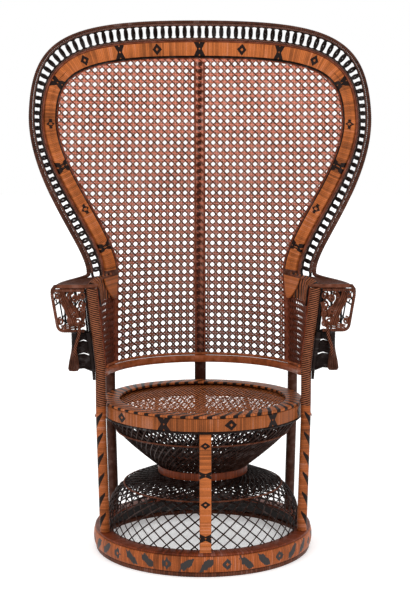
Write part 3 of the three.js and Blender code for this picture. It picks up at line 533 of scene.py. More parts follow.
def reed(name, slot, colour, spread=0.5):
    """Stained round reed, darker and lighter by patches, with a soft gloss."""
    finish = Finish(name, slot, coat=0.05)
    tone = finish.noise(60, 4) * 0.7 + finish.noise(9, 2) * 0.3
    low, high = darker(colour, 1 - spread), lighter(darker(colour, 1.3), 0.03)
    finish.colour(tone.ramp((0.35, low), (0.5, colour), (0.68, high)))
    finish.roughness(0.32 + finish.noise(25) * 0.25)
    finish.bump(finish.noise(900, 2), 0.2 * MM, 0.4)
    return finish


def woven_cane(name, slot, colour, knot=None):
    """Flat woven cane, mottled and darker lower down, with a painted highlight where pairs cross.
    """
    finish = Finish(name, slot, coat=0.03)
    tone = finish.noise(95, 3) * 0.75 + finish.noise(12, 2) * 0.25
    body = tone.ramp(
        (0.36, darker(colour, 0.3)),
        (0.5, colour),
        (0.66, lighter(colour, 0.1)),
    )
    # knot is the colour of a painted highlight: a pale spot laid where the pairs cross.
    if knot:
        off = [abs((place + 0.5).fraction() - 0.5) for place in finish.uv("cell")]
        body = finish.mix(1.5 - (off[0] + off[1]) * 5.5, body, knot)
    height = finish.node("ShaderNodeSeparateXYZ", inputs={0: finish.object_point()}, output=2)
    finish.colour(finish.mix((1.22 - height) * 1.2, body, darker(colour, 0.25)))
    finish.roughness(0.35 + finish.noise(40) * 0.2)
    finish.bump(finish.noise(700, 2), 0.2 * MM, 0.4)
    return finish


finishes = {}


def recipes():
    """By slot and then by name, each finish's maker, its colour and its other inputs."""
    colours = bpy.context.scene.chair_colours
    honey, red = tuple(colours.honey), tuple(colours.red)
    brown, dark = tuple(colours.brown), tuple(colours.dark)
    # knot is the colour of the painted highlight where the back weave's pairs cross.
    slate, knot = lighter(dark, 0.03), lighter(darker(red, 2.3), 0.09)
    return {
        "honey_cane": {
            "honey_wrap": (wrapped_cane, honey),
            "band_wrap": (wrapped_cane, honey, 8, diamonds_and_crosses, dark),
            "drum_wrap": (wrapped_cane, darker(honey, 0.66), 4, diamonds_and_crosses, dark),
            "base_wrap": (wrapped_cane, blend(honey, red, 0.35), 4, diamonds_and_leaves, slate),
            "post_wrap": (wrapped_cane, darker(blend(honey, red, 0.2), 0.8), 8, outer_dashes, dark),
            "rim_wrap": (wrapped_cane, blend(honey, brown, 0.2), 4, diagonal_stripes, dark),
            # A wound cord's first colour is its painted highlight and its second its painted shade.
            "post_cord": (wound_cord, lighter(blend(honey, brown, 0.5), 0.02), darker(brown, 0.15)),
            "rail_pole": (reed, darker(blend(honey, red, 0.5), 0.75), 0.4),
            "dark_pole": (reed, blend(brown, dark, 0.6)),
        },
        "red_cane": {
            "red_wrap": (wrapped_cane, darker(red, 0.6), 4),
            "spine_pole": (reed, darker(red, 0.12), 0.4),
            "edge_cane": (reed, darker(red, 0.5), 0.4),
            "seat_cane": (reed, darker(honey, 0.85), 0.45),
            "seat_under_cane": (woven_cane, darker(red, 0.25)),
            "upright_cane": (woven_cane, lighter(blend(honey, brown, 0.4), 0.06), knot),
            "level_cane": (woven_cane, lighter(darker(red, 1.6), 0.03), knot),
            # The diagonals' darker red is partly their own stain and partly painted shade for the
            # dark lines between strands.
            "slanting_cane": (woven_cane, darker(red, 0.4)),
            # The wing's painted highlight where pairs cross is a brighter red.
            "wing_cane": (woven_cane, darker(red, 0.7), darker(red, 1.2)),
        },
        "brown_reed": {
            "brown_wrap": (wrapped_cane, brown, 3),
            "hoop_wrap": (wrapped_cane, blend(brown, dark, 0.4), 3),
            "brown_reed": (reed, brown),
            "tan_reed": (reed, blend(honey, brown, 0.6)),
            "braid_reed": (reed, blend(brown, red, 0.3)),
            "bell_reed": (reed, blend(brown, dark, 0.5)),
            # A wound cord's first colour is its painted highlight and its second its painted shade.
            "border_cord": (wound_cord, lighter(darker(brown, 1.6), 0.05), darker(brown, 0.15)),
            "rib_cord": (wound_cord, darker(brown, 1.8), dark),
        },
        "dark_reed": {
            "dark_wrap": (wrapped_cane, dark),
            "dark_reed": (reed, dark),
            "lattice_reed": (reed, blend(dark, brown, 0.12)),
        },
    }


def chair_finish(name):
    """One of the chair's finishes, made when it is first asked for."""
    if name not in finishes:
        slot, named = next(entry for entry in recipes().items() if name in entry[1])
        maker, *inputs = named[name]
        finishes[name] = maker(name, slot, *inputs)
    return finishes[name]


def select_only(piece):
    bpy.ops.object.select_all(action="DESELECT")
    piece.select_set(True)
    bpy.context.view_layer.objects.active = piece


def edit_whole(piece, *steps):
    """Runs operators, each with its settings, on the whole of a piece in edit mode."""
    select_only(piece)
    bpy.ops.object.mode_set(mode="EDIT")
    for operator, settings in steps:
        bpy.ops.mesh.select_all(action="SELECT")
        operator(**settings)
    bpy.ops.object.mode_set(mode="OBJECT")


def face_outwards(piece, *steps):
    """Turns a piece's faces outwards, after other steps in edit mode."""
    edit_whole(piece, *steps, (bpy.ops.mesh.normals_make_consistent, {"inside": False}))
    return piece


def close_up(piece):
    """Welds a piece's seams, fills its open ends and turns its faces outwards."""
    weld = (bpy.ops.mesh.remove_doubles, {"threshold": WELD})
    return face_outwards(piece, weld, (bpy.ops.mesh.fill_holes, {"sides": 0}))


def hang(piece, name, finish_name, *nodes):
    """Names a finished piece, gives it its finish and sets it in place of CAD nodes."""
    finish = chair_finish(finish_name)
    piece.name = piece.data.name = name
    select_only(piece)
    bpy.ops.object.transform_apply(location=True, rotation=True, scale=True)
    bpy.ops.object.shade_smooth_by_angle(angle=SMOOTH_ANGLE)
    piece.data.materials.clear()
    piece.data.materials.append(finish.material)
    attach(piece, "root")
    if nodes:
        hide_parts(*nodes)


def rolled_grid(along, across, where, wraps=1, inlay=None):
    """A grid rolled up into a bar or ring: where(u, v) places it, u along and v round it.

    Its UV map counts the wraps along it, and inlay(u, v) gives the map for its motifs.
    """
    bpy.ops.object.select_all(action="DESELECT")
    bpy.ops.mesh.primitive_grid_add(x_subdivisions=along, y_subdivisions=across, size=1)
    piece = bpy.context.object
    if inlay:
        base = piece.data.uv_layers["UVMap"].data
        spots = [inlay(*loop.uv) for loop in base]
        motifs = piece.data.uv_layers.new(name="inlay", do_init=False)
        motifs.data.foreach_set("uv", [number for spot in spots for number in spot])
        piece.data.uv_layers["UVMap"].active = True
    for loop in piece.data.uv_layers["UVMap"].data:
        loop.uv.x *= wraps
    for vertex in piece.data.vertices:
        vertex.co = where(vertex.co.x + 0.5, vertex.co.y + 0.5)
    return close_up(piece)


def groove(share, steps, depth):
    """Every other step along a wrapped piece lies a little deeper, as a seam."""
    return depth * (round(share * steps) % 2)


def wrapped_ring(outline, wrap_width, depth, inlay=None):
    """A ring about the seat's axis, wound with cane, from an outline of (radius, height)."""
    middle = tuple(sum(numbers) / len(outline) for numbers in zip(*outline))
    wraps = round(2 * math.pi * middle[0] / wrap_width)
    steps = 2 * wraps

    def where(u, v):
        radius, height = around(outline, v)
        inward = Vector((middle[0] - radius, middle[1] - height)).normalized()
        radius += inward.x * groove(u, steps, depth)
        height += inward.y * groove(u, steps, depth)
        return on_axis(radius, -90 + 360 * u, height)

    return rolled_grid(steps, len(outline), where, wraps, inlay)


def hoop_outline(node, width, corner):
    """The rounded (radius, height) section of a CAD hoop, measured in from its outer edge."""
    low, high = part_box(node)
    return box_section((high.x - width, low.z), (high.x, high.z), corner)


# Plain hoops: a name and a finish, then width, corner, wrap and seam's depth in mm. The wrap
# that isn't given here is the chair's own.
HOOPS = {
    "foot_hoop": ("foot_hoop_wrapping", "brown_wrap", 14, 4, 7, 0.4),
    "base_ledge": ("base_ledge_wrapping", "red_wrap", 42, 2.5, 6, 0.5),
    "waist_band": ("waist_wrapping", "red_wrap", 8, 2, None, 0.5),
    "seat_lower_hoop": ("seat_lower_wrapping", "dark_wrap", 24, 2.5, 6, 0.5),
    "seat_cover_hoop": ("seat_cover_wrapping", "red_wrap", 12, 1.5, 7, 0.4),
    "seat_support_hoop": ("seat_support_wrapping", "brown_wrap", 14, 3, 9, 0.3),
}


def wrap_hoop(node):
    """Winds one of the plain hoops with cane."""
    name, finish_name, width, corner, wrap, depth = HOOPS[node]
    wrap_width = wrap * MM if wrap else bpy.context.scene.chair_sizes.wrap_width
    outline = hoop_outline(node, width * MM, corner * MM)
    hang(wrapped_ring(outline, wrap_width, depth * MM), name, finish_name, node)


def reeds(paths, radius, resolution=0, cyclic=False):
    """Round reeds along lists of points, as one mesh."""
    curve = bpy.data.curves.new("reeds", "CURVE")
    curve.dimensions = "3D"
    curve.bevel_depth = radius
    curve.bevel_resolution = resolution
    curve.use_fill_caps = True
    for path in paths:
        spline = curve.splines.new("POLY")
        spline.points.add(len(path) - 1)
        spline.points.foreach_set("co", [n for spot in path for n in (*spot, 1)])
        spline.use_cyclic_u = cyclic
    piece = bpy.data.objects.new("reeds", curve)
    bpy.context.collection.objects.link(piece)
    select_only(piece)
    bpy.ops.object.convert(target="MESH")
    return bpy.context.object


def mirror_copy(piece):
    """A copy of a right-hand piece on the chair's left, with its own mesh."""
    select_only(piece)
    bpy.ops.object.duplicate()
    copy = bpy.context.object
    bpy.ops.transform.mirror(constraint_axis=(True, False, False))
    bpy.ops.object.transform_apply(location=True, rotation=True, scale=True)
    return face_outwards(copy)


def hang_pair(piece, name, finish_name, *nodes):
    """Hangs a right-hand piece, and its mirror image in place of the left-hand nodes."""
    copy = mirror_copy(piece)
    hang(piece, f"{name}_right", finish_name, *(f"{node}_right" for node in nodes))
    hang(copy, f"{name}_left", finish_name, *(f"{node}_left" for node in nodes))


BASE_MOTIFS = 36
BASE_MOTIF_START = 4.95
BASE_BULGE_SQUARENESS = 0.8


def make_base_ring():
    sizes = bpy.context.scene.chair_sizes
    wrap_hoop("foot_hoop")
    low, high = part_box("base_band")
    inner, edge = LEDGE_HIGH.x - 10 * MM, LEDGE_HIGH.x - 2 * MM
    middle, half = halves(low.z, high.z)
    bulge = [
        (edge + (high.x - edge) * math.cos(t) ** BASE_BULGE_SQUARENESS, middle + half * math.sin(t))
        for t in (math.radians(d) for d in range(-90, 91, 15))
    ]
    outline = [(inner, low.z)] + bulge + [(inner, high.z)]

    def inlay(u, v):
        radius, height = around(outline, v)
        # The inner face is numbered past the face, so that it takes the dark inlay colour as
        # painted shade.
        across = SHADED_INNER_SIDE if radius == inner else (height - middle) / half
        return BASE_MOTIFS * u + BASE_MOTIF_START, across

    band = wrapped_ring(outline, sizes.wrap_width, 0.5 * MM, inlay)
    hang(band, "base_band_wrapping", "base_wrap", "base_band")
    wrap_hoop("base_ledge")


DOME_BASE_RADIUS = LEDGE_HIGH.x - 36 * MM
DOME_SQUARENESS = 2.8
LATTICE_WAIST_RADIUS = WAIST_HIGH.x - 4 * MM
BOWL_TOP_RADIUS = SEAT_RADIUS - 18 * MM
BOWL_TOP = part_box("seat_lower_hoop")[0].z - CLEARANCE
# Where the bowl bulges to, as shares of the way out and of the way up.
BOWL_BELLY = (0.96, 0.74)
LATTICE_SKIN = 1.9 * MM
# Where the closer reeds start and stop, as shares up the dome and up the bowl.
DOME_SHOULDER, DOME_TOP = 0.42, 0.66
BOWL_LINING_TOP = 0.66


def dome_profile(share):
    """(radius, height) up the dome, from the ledge to under the waist band."""
    power = 2 / DOME_SQUARENESS
    last = math.acos((LATTICE_WAIST_RADIUS / DOME_BASE_RADIUS) ** (1 / power))
    rise = (WAIST_LOW.z - CLEARANCE - STAND_HEIGHT) / math.sin(last) ** power
    radius = DOME_BASE_RADIUS * math.cos(share * last) ** power
    return radius, STAND_HEIGHT + rise * math.sin(share * last) ** power


def bowl_profile(share):
    """(radius, height) up the bowl, from over the waist band to under the seat."""
    low, high = (LATTICE_WAIST_RADIUS, WAIST_HIGH.z + CLEARANCE), (BOWL_TOP_RADIUS, BOWL_TOP)
    belly = Vector([lerp(*numbers) for numbers in zip(low, high, BOWL_BELLY)])
    low, high = Vector(low), Vector(high)
    return tuple(low.lerp(belly, share).lerp(belly.lerp(high, share), share))


def profile_line(profile, first, last, count):
    """Spots spaced evenly by length along part of a profile."""
    fine = [profile(lerp(first, last, k / 200)) for k in range(201)]
    return [tuple(spot) for spot in evenly(fine, count)]


def crossing_reeds(line, number, slope, skin, start, tilt):
    """Reeds that wind up a profile line, each turning by slope (length over turned length)."""
    turns = [0.0]
    for (r0, z0), (r1, z1) in zip(line, line[1:]):
        step = math.hypot(r1 - r0, z1 - z0)
        turns.append(turns[-1] + math.degrees(step / slope / ((r0 + r1) / 2)))
    paths = []
    for i in range(number):
        first = start + 360 * i / number
        spots = zip(line, turns)
        paths.append([on_axis(r + skin * tilt, first + tilt * turn, z) for (r, z), turn in spots])
    return paths


def both_ways(profile, first, last, spots, number, slope, skin=0):
    """Two layers of reeds on part of a profile, which wind opposite ways and cross."""
    line = profile_line(profile, first, last, spots)
    right = crossing_reeds(line, number, slope, skin, 0, 1)
    return right + crossing_reeds(line, number, slope, skin, 180 / number, -1)


def make_hourglass():
    sizes = bpy.context.scene.chair_sizes
    dome, bowl = sizes.dome_reeds, sizes.bowl_reeds
    lattice = both_ways(dome_profile, 0, 1, 30, dome, slope=0.85, skin=LATTICE_SKIN)
    hang(reeds(lattice, 1.9 * MM), "dome_reeds", "lattice_reed", "dome_lattice")
    crown = both_ways(dome_profile, DOME_SHOULDER, 1, 22, dome, slope=0.62, skin=LATTICE_SKIN / 2)
    crown += both_ways(dome_profile, DOME_TOP, 1, 12, 2 * dome, slope=2.2)
    hang(reeds(crown, 2.1 * MM), "dome_crown_reeds", "dark_reed")
    lattice = both_ways(bowl_profile, 0, 1, 16, bowl, slope=1.25, skin=LATTICE_SKIN)
    hang(reeds(lattice, 2.3 * MM), "bowl_reeds", "lattice_reed", "bowl_lattice")
    lining = both_ways(bowl_profile, 0, BOWL_LINING_TOP, 10, bowl, slope=3)
    hang(reeds(lining, 2.4 * MM), "bowl_lining_reeds", "dark_reed")
    wrap_hoop("waist_band")
    for name in ("dome_hoop", "bowl_hoop"):
        low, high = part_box(name)
        twist = twisted_ring(high.x - 2.6 * MM, (low.z + high.z) / 2, 1.3 * MM, 12 * MM)
        hang(twist, f"{name}_twist", "brown_reed", name)


def twisted_ring(radius, height, ply_radius, pitch):
    """Two thin reeds twisted together into a hoop about the seat's axis."""
    turns = round(2 * math.pi * radius / pitch)
    steps = 6 * turns

    def spot(k, ply):
        angle = 2 * math.pi * turns * k / steps + ply
        rise = ply_radius * math.sin(angle)
        return on_axis(radius + ply_radius * math.cos(angle), 360 * k / steps, height + rise)

    plies = [[spot(k, ply) for k in range(steps)] for ply in (0, math.pi)]
    return reeds(plies, ply_radius, cyclic=True)


# The drum's front motifs, in degrees past its front, and the even spaces round the rest of it.
DRUM_MOTIF_DEGREES = (-52.6, -18.5, 14.2, 40.4)
DRUM_MOTIF_SPACES = 9
RIM_WIDTH = 46 * MM
RIM_STRIPES = 50
# The seat panel's dish: how deep it is in the middle, and how far out it fades to flat.
DISH_DEPTH, DISH_RADIUS = 8 * MM, 190 * MM


def make_seat():
    sizes = bpy.context.scene.chair_sizes
    drum = hoop_outline("seat_drum", 12 * MM, 2 * MM)
    middle, half = halves(DRUM_LOW.z, DRUM_HIGH.z)
    spacing = (360 - DRUM_MOTIF_DEGREES[-1] + DRUM_MOTIF_DEGREES[0]) / DRUM_MOTIF_SPACES
    rest = [DRUM_MOTIF_DEGREES[-1] + spacing * k for k in range(1, DRUM_MOTIF_SPACES + 4)]
    degrees = [*DRUM_MOTIF_DEGREES, *rest]
    numbers = range(1, len(degrees) + 1)

    def inlay(u, v):
        return np.interp(360 * u, degrees, numbers), (around(drum, v)[1] - middle) / half

    body = wrapped_ring(drum, sizes.wrap_width, 0.5 * MM, inlay)
    hang(body, "seat_drum_wrapping", "drum_wrap", "seat_drum")
    rim = hoop_outline("seat_rim", RIM_WIDTH, 3 * MM)

    def stripes(u, v):
        return RIM_STRIPES * u, (around(rim, v)[0] - (SEAT_RADIUS - RIM_WIDTH)) / RIM_WIDTH

    top = wrapped_ring(rim, 7 * MM, 0.6 * MM, stripes)
    hang(top, "seat_rim_wrapping", "rim_wrap", "seat_rim")
    wrap_hoop("seat_lower_hoop")
    make_seat_panel()
    wrap_hoop("seat_cover_hoop")
    wrap_hoop("seat_support_hoop")
    for node in ("seat_bearer_1", "seat_bearer_2", "seat_bearer_3"):
        low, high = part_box(node)
        middle = (low + high) / 2
        ends = [Vector((middle.x, y, middle.z)) for y in (low.y, high.y)]
        pole = reeds([evenly(ends, 12)], (high.z - low.z) / 2, 3)
        hang(pole, f"{node}_pole", "brown_reed", node)


def make_seat_panel():
    """An open, dished weave of cane in three directions."""
    sizes = bpy.context.scene.chair_sizes
    panel_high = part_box("seat_panel")[1]
    radius = panel_high.x - 1 * MM
    middle = panel_high.z - 2 * MM
    strand, pitch = sizes.seat_strand, sizes.seat_pitch

    def place(x, y, rise):
        return Vector((x, AXIS_Y + y, middle + rise))

    def strands(degrees, lift, spacing):
        along = Vector((math.cos(math.radians(degrees)), math.sin(math.radians(degrees))))
        beside = Vector((-along.y, along.x))
        count = int(radius / spacing)
        for i in range(-count, count + 1):
            offset = (i + 0.5) * spacing
            if abs(offset) >= radius - 2 * MM:
                continue
            reach = math.sqrt(radius**2 - offset**2)
            steps = max(int(2 * reach / (1.5 * pitch)), 2)
            path = []
            for k in range(steps + 1):
                spot = beside * offset + along * lerp(-reach, reach, k / steps)
                depth = DISH_DEPTH * (1 - min(spot.length / DISH_RADIUS, 1) ** 2)
                wave = 0.25 * MM * (1 if (i + k) % 2 else -1)
                path.append((spot.x, spot.y, lift * MM + wave - depth))
            yield path

    for name, finish_name, degrees, lift, spacing, width, nodes in (
        ("rising", "seat_under_cane", 68, -1.0, 1.6 * pitch, strand, ()),
        ("falling", "seat_cane", -68, 0.8, pitch, 1.1 * strand, ()),
        ("level", "seat_under_cane", 0, -0.2, 1.8 * pitch, strand, ("seat_panel",)),
    ):
        weave = flat_cane(strands(degrees, lift, spacing), width, place)
        hang(weave, f"seat_{name}_canes", finish_name, *nodes)


POST_SIDES = 20
POST_OUTER_DEGREES = -35
POST_DASH_PITCH = 56 * MM


def upright_bar(centre, radius, steps, sides, depth=0.0, wraps=1, inlay=None):
    """A round bar from functions of the share up it, which give its centre and radius."""

    def where(u, v):
        return centre(u) + ray(radius(u) - groove(u, steps, depth), 2 * math.pi * v)

    return rolled_grid(steps, sides, where, wraps, inlay)


def round_post(axis, low, high, steps, wraps=1, depth=0.0, dashed=False):
    """Part of a post along an axis function of height, plain or wound with cane."""

    def centre(u):
        return axis(lerp(low, high, u))

    def inlay(u, v):
        across = (v - POST_OUTER_DEGREES / 360 + 0.5) % 1 - 0.5
        return u * (high - low) / POST_DASH_PITCH, across * 2

    motif = inlay if dashed else None
    return upright_bar(centre, lambda u: POST_RADIUS, steps, POST_SIDES, depth, wraps, motif)


def flat_pole(stations, width, depth, wraps, groove_depth, motif=None):
    """A flat pole with rounded edges through upright stations, wound with cane."""
    section = box_section((-width / 2, -depth / 2), (width / 2, depth / 2), depth / 4, 2)
    steps = 2 * wraps
    points = evenly(stations, steps + 1)

    def where(u, v):
        x, y = around(section, v)
        shrink = 1 - groove(u, steps, groove_depth) * 2 / depth
        narrow = 1 - (1 - shrink) * depth / width
        return points[round(u * steps)] + Vector((x * narrow, y * shrink, 0))

    def inlay(u, v):
        return motif(points[round(u * steps)].z), 2 * around(section, v)[0] / width

    return rolled_grid(steps, len(section), where, wraps, inlay if motif else None)


# Each point stands a little over one turn past the last, so no turns show: the binding comes out
# as a single strand that climbs aslant.
BINDING_PITCH = 2.9 * MM
BINDING_STEP = 3 * MM


def post_binding():
    """A slanting strand, part of the way round a front post beside the seat's drum."""
    centre = front_post_axis((LASHING_LOW.z + LASHING_HIGH.z) / 2)
    low, high = LASHING_LOW.z + 2 * MM, LASHING_HIGH.z - 2 * MM
    steps = round((high - low) / BINDING_STEP)
    path = []
    for k in range(steps + 1):
        height = lerp(low, high, k / steps)
        spoke = ray(POST_RADIUS + 1.7 * MM, 2 * math.pi * ((height - low) / BINDING_PITCH))
        path.append(Vector((centre.x, centre.y, height)) + spoke)
    return reeds([path], 1.4 * MM, 1)


CENTRE_POST_MOTIF_HEIGHTS = (0.101, 0.190, 0.267, 0.344)
CENTRE_POST_WIDTH, CENTRE_POST_DEPTH = 31 * MM, 12 * MM
SPINE_WIDTH, SPINE_DEPTH = 34 * MM, 16 * MM


def make_posts():
    sizes = bpy.context.scene.chair_sizes
    cord_low = LASHING_HIGH.z - 20 * MM
    wraps = round((cord_low - STAND_HEIGHT) / sizes.wrap_width)
    lower = round_post(
        front_post_axis, STAND_HEIGHT, cord_low, 2 * wraps, wraps, 0.4 * MM, dashed=True
    )
    hang_pair(lower, "front_post_wrapping", "post_wrap", "front_post")
    turns = round((ARM_POST_TOP - cord_low) / (6 * MM))
    cord = round_post(front_post_axis, cord_low, ARM_POST_TOP, 2 * turns, turns, 0.2 * MM)
    hang_pair(cord, "front_post_cord", "post_cord", "front_post")
    rear = round_post(rear_post_axis, STAND_HEIGHT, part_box("rear_post_right")[1].z, 60)
    hang_pair(rear, "rear_post_pole", "dark_pole", "rear_post")
    hang_pair(post_binding(), "post_binding", "edge_cane", "post_lashing")
    make_flat_posts()


def make_flat_posts():
    low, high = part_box("front_centre_post")
    stations = [
        Vector((0, AXIS_Y - POST_BASE_RADIUS, low.z)),
        Vector((0, AXIS_Y - (SEAT_RADIUS - CENTRE_POST_DEPTH / 2), high.z)),
    ]
    heights = [low.z - 60 * MM, *CENTRE_POST_MOTIF_HEIGHTS, high.z + 50 * MM]

    def motif(height):
        return np.interp(height, heights, range(1, len(heights) + 1))

    front = flat_pole(stations, CENTRE_POST_WIDTH, CENTRE_POST_DEPTH, 80, 0.5 * MM, motif)
    hang(front, "front_centre_post_wrapping", "band_wrap", "front_centre_post")
    behind = AXIS_Y + POST_FACE_RADIUS + SPINE_DEPTH / 2
    stations = [
        Vector((0, AXIS_Y + POST_BASE_RADIUS, STAND_HEIGHT)),
        Vector((0, behind, DRUM_LOW.z)),
        Vector((0, behind, RAIL_TOP)),
        back_point(0, CROWN_HEIGHT - 6 * MM, 2.3 * MM + SPINE_DEPTH / 2),
    ]
    spine = flat_pole(stations, SPINE_WIDTH, SPINE_DEPTH, 120, 0.2 * MM)
    hang(spine, "spine_slat", "spine_pole", "spine_post")


# Where the rail starts to bend out into the front posts, in degrees past the chair's side.
RAIL_BEND_DEGREES = -9
RAIL_DEPTH = 18 * MM


def make_rail():
    outer = POST_FACE_RADIUS - CLEARANCE
    inner = outer - RAIL_DEPTH
    section = box_section((inner, RAIL_LOW), (outer, RAIL_TOP), 8 * MM, 4)
    end = FRONT_POST_ANGLE - math.degrees(6 * MM / POST_AXIS_RADIUS)

    def where(u, v):
        degrees = lerp(end, 180 - end, u)
        radius, height = around(section, v)
        near = min(degrees, 180 - degrees)
        bend = min(max((near - RAIL_BEND_DEGREES) / (end - RAIL_BEND_DEGREES), 0), 1)
        radius += bend**1.5 * (POST_AXIS_RADIUS - (inner + outer) / 2)
        return on_axis(radius, degrees, height + rail_lift(near))

    hang(rolled_grid(150, len(section), where, 40), "back_rail_pole", "rail_pole", "back_rail")
    radius = 4 * MM
    half = [back_point(lerp(0, 0.249, k / 30), RAIL_TOP + radius, -3 * MM) for k in range(31)]
    for share in np.arange(1, 17) / 16:
        half.append(wing_point(share, wing_rail_top(share) + radius, -3 * MM))
    bead = [Vector((-spot.x, spot.y, spot.z)) for spot in reversed(half[1:])] + half
    hang(reeds([bead], radius, 2), "back_rail_bead", "rail_pole")


EDGE_SHARES = np.linspace(1, 0, 400)
EDGE = np.array([BAND_LINE.beside(share, SHEET_EDGE_OFFSET) for share in EDGE_SHARES])


def sheet_half_width(height):
    """Half the woven sheet's width at a height."""
    if height < EDGE[0][1]:
        return SHEET_HALF_WIDTH
    return float(np.interp(height, EDGE[:, 1], EDGE[:, 0]))


def in_sheet(x, height):
    return RAIL_TOP < height < EDGE[-1][1] and abs(x) < sheet_half_width(height)


def trimmed(spots, inside):
    """The stretches of a line of (a, b) spots that lie inside, cut at the border."""
    stretches, here = [], []
    for spot, following in zip(spots, [*spots[1:], None]):
        within = inside(*spot[:2])
        if within:
            here.append(spot)
        if following is None:
            break
        if within != inside(*following[:2]):
            near, far = (spot, following) if within else (following, spot)
            for _ in range(10):
                halfway = [(a + b) / 2 for a, b in zip(near, far)]
                near, far = (halfway, far) if inside(*halfway[:2]) else (near, halfway)
            if within:
                stretches.append([*here, near])
            here = [] if within else [near]
    if here:
        stretches.append(here)
    return [stretch for stretch in stretches if len(stretch) > 1]


# A weave's pairs: each strand's offset from the pair's middle. Lifts are off the surface.
PAIR_OFFSET = 2.3 * MM
WEAVE_LIFT = 0.5 * MM
DIAGONAL_LIFT = 0.9 * MM
# The share of its thickness that a round reed keeps when it is pressed flat.
PRESSED = 0.4


class CaneWeave:
    """An octagonal cane weave, laid out flat: uprights and levels in pairs, and diagonals."""

    def __init__(self, across, up, low, high, start=0.0, drift=0.0):
        self.across, self.up = across, up
        self.low, self.high = low, high
        self.start, self.drift = start, drift

    def shift(self, height):
        """How far to the side the uprights stand at a height."""
        return self.start + self.drift * (height - self.low) / (self.high - self.low)

    def cell(self, x, height):
        """A spot in pitches of the weave, whole numbers where the pairs cross."""
        return (x - self.shift(height)) / self.across - 0.5, (height - self.low) / self.up

    def strands(self, width, inside):
        """Uprights, levels and diagonals, each as lines of (x, height, lift) spots."""
        across, up, low, shift = self.across, self.up, self.low, self.shift
        columns = int(width / across) + 1
        rows = int((self.high - low) / up) + 1
        heights = [low + k * up / 2 for k in range(2 * rows + 1)]

        def lift(k, side):
            return WEAVE_LIFT * (1 if (k + (side > 0)) % 2 else -1)

        def upright(i, side):
            offset = (i + 0.5) * across + side * PAIR_OFFSET
            return [(offset + shift(z), z, lift(k, side)) for k, z in enumerate(heights)]

        def level(j, side):
            height = low + j * up + side * PAIR_OFFSET
            steps = range(-2 * columns, 2 * columns + 1)
            return [(k * across / 2 + shift(height), height, lift(k, side)) for k in steps]

        def diagonal(i, side):
            spots = []
            for k, height in enumerate(heights):
                x = i * across + side * k * across / 2 + shift(height)
                spots.append((x, height, side * DIAGONAL_LIFT))
            return spots

        layers = (
            (upright, range(-columns, columns + 1)),
            (level, range(rows + 1)),
            (diagonal, range(-columns - rows, columns + rows + 1)),
        )
        return [
            [part for i in numbers for side in (-1, 1) for part in trimmed(strand(i, side), inside)]
            for strand, numbers in layers
        ]


def flat_cane(paths, width, place, cell=None):
    """Flat strands: round reeds pressed flat, then laid on a surface by place(x, z, out)."""
    piece = reeds([[(x, lift / PRESSED, z) for x, z, lift in path] for path in paths], width / 2)
    press = {"value": (1, PRESSED, 1), "center_override": (0, 0, 0)}
    edit_whole(piece, (bpy.ops.transform.resize, press))
    if cell:
        cells = piece.data.uv_layers.new(name="cell")
        for corner, loop in zip(cells.data, piece.data.loops):
            spot = piece.data.vertices[loop.vertex_index].co
            corner.uv = cell(spot.x, spot.z)
    for vertex in piece.data.vertices:
        vertex.co = place(vertex.co.x, vertex.co.z, vertex.co.y)
    return piece


BACK_STRAND_WIDTH = 4 * MM
BACK_WEAVE_START = -8.4 * MM
SPINE_STRIP_HALF_WIDTH = 13.5 * MM


def make_back_weave():
    sizes = bpy.context.scene.chair_sizes
    across, up = sizes.weave_across, sizes.weave_up
    low = RAIL_TOP + 2 * MM
    weave = CaneWeave(across, up, low, CROWN_HEIGHT, BACK_WEAVE_START, across / 2)
    strands = weave.strands(SHEET_HALF_WIDTH * 1.8, in_sheet)
    for paths, name, finish_name, nodes in zip(
        strands,
        ("uprights", "levels", "diagonals"),
        ("upright_cane", "level_cane", "slanting_cane"),
        (["back_sheet"], [], []),
    ):
        sheet = flat_cane(paths, BACK_STRAND_WIDTH, back_point, weave.cell)
        hang(sheet, f"back_weave_{name}", finish_name, *nodes)
    edge = [(x - 2 * MM, height, 0) for x, height in EDGE[:: len(EDGE) // 130]]
    foot, side = RAIL_TOP + 1 * MM, SHEET_HALF_WIDTH - 2.5 * MM
    edge = [(side, lerp(foot, edge[0][1], k / 40), 0) for k in range(40)] + edge
    edge += [(-x, height, lift) for x, height, lift in reversed(edge)]
    hang(flat_cane([edge], 6.5 * MM, back_point), "back_weave_binding", "edge_cane")
    top = CROWN_HEIGHT - 4 * MM
    edges = [
        [(x, lerp(foot, top, k / 120), 0) for k in range(120)]
        for x in (-SPINE_STRIP_HALF_WIDTH, SPINE_STRIP_HALF_WIDTH)
    ]
    strip = flat_cane(edges, 4 * MM, lambda x, z, out: back_point(x, z, out - 3.2 * MM))
    hang(strip, "spine_strip_canes", "edge_cane", "spine_strip")


def fan_bar(line, section, wraps, depth, inlay=None):
    """A wound bar along a fan line, from a section of (offset, out) corners."""
    middle = sum(spot[0] for spot in section) / len(section)
    steps = 2 * wraps

    def where(u, v):
        offset, out = around(section, v)
        shrink = 1 - groove(u, steps, depth) / max(abs(offset - middle), abs(out), 1 * MM)
        spot = line.beside(lerp(-1, 1, u), middle + (offset - middle) * shrink)
        return back_point(*spot, out * shrink)

    return rolled_grid(steps, len(section), where, wraps, inlay)


def ring_section(radius, sides, offset=0.0):
    """A round section's (offset, out) corners."""
    turn = 2 * math.pi / sides
    return [
        (offset + radius * math.cos(turn * k), radius * math.sin(turn * k)) for k in range(sides)
    ]


BAND_MOTIF_SHARES = (0, 0.122, 0.228, 0.33, 0.43, 0.548, 0.67, 0.802, 0.92, 1.0)
BAND_DEPTH, BAND_CROWN, BAND_CHAMFER = 9 * MM, 3 * MM, 2 * MM


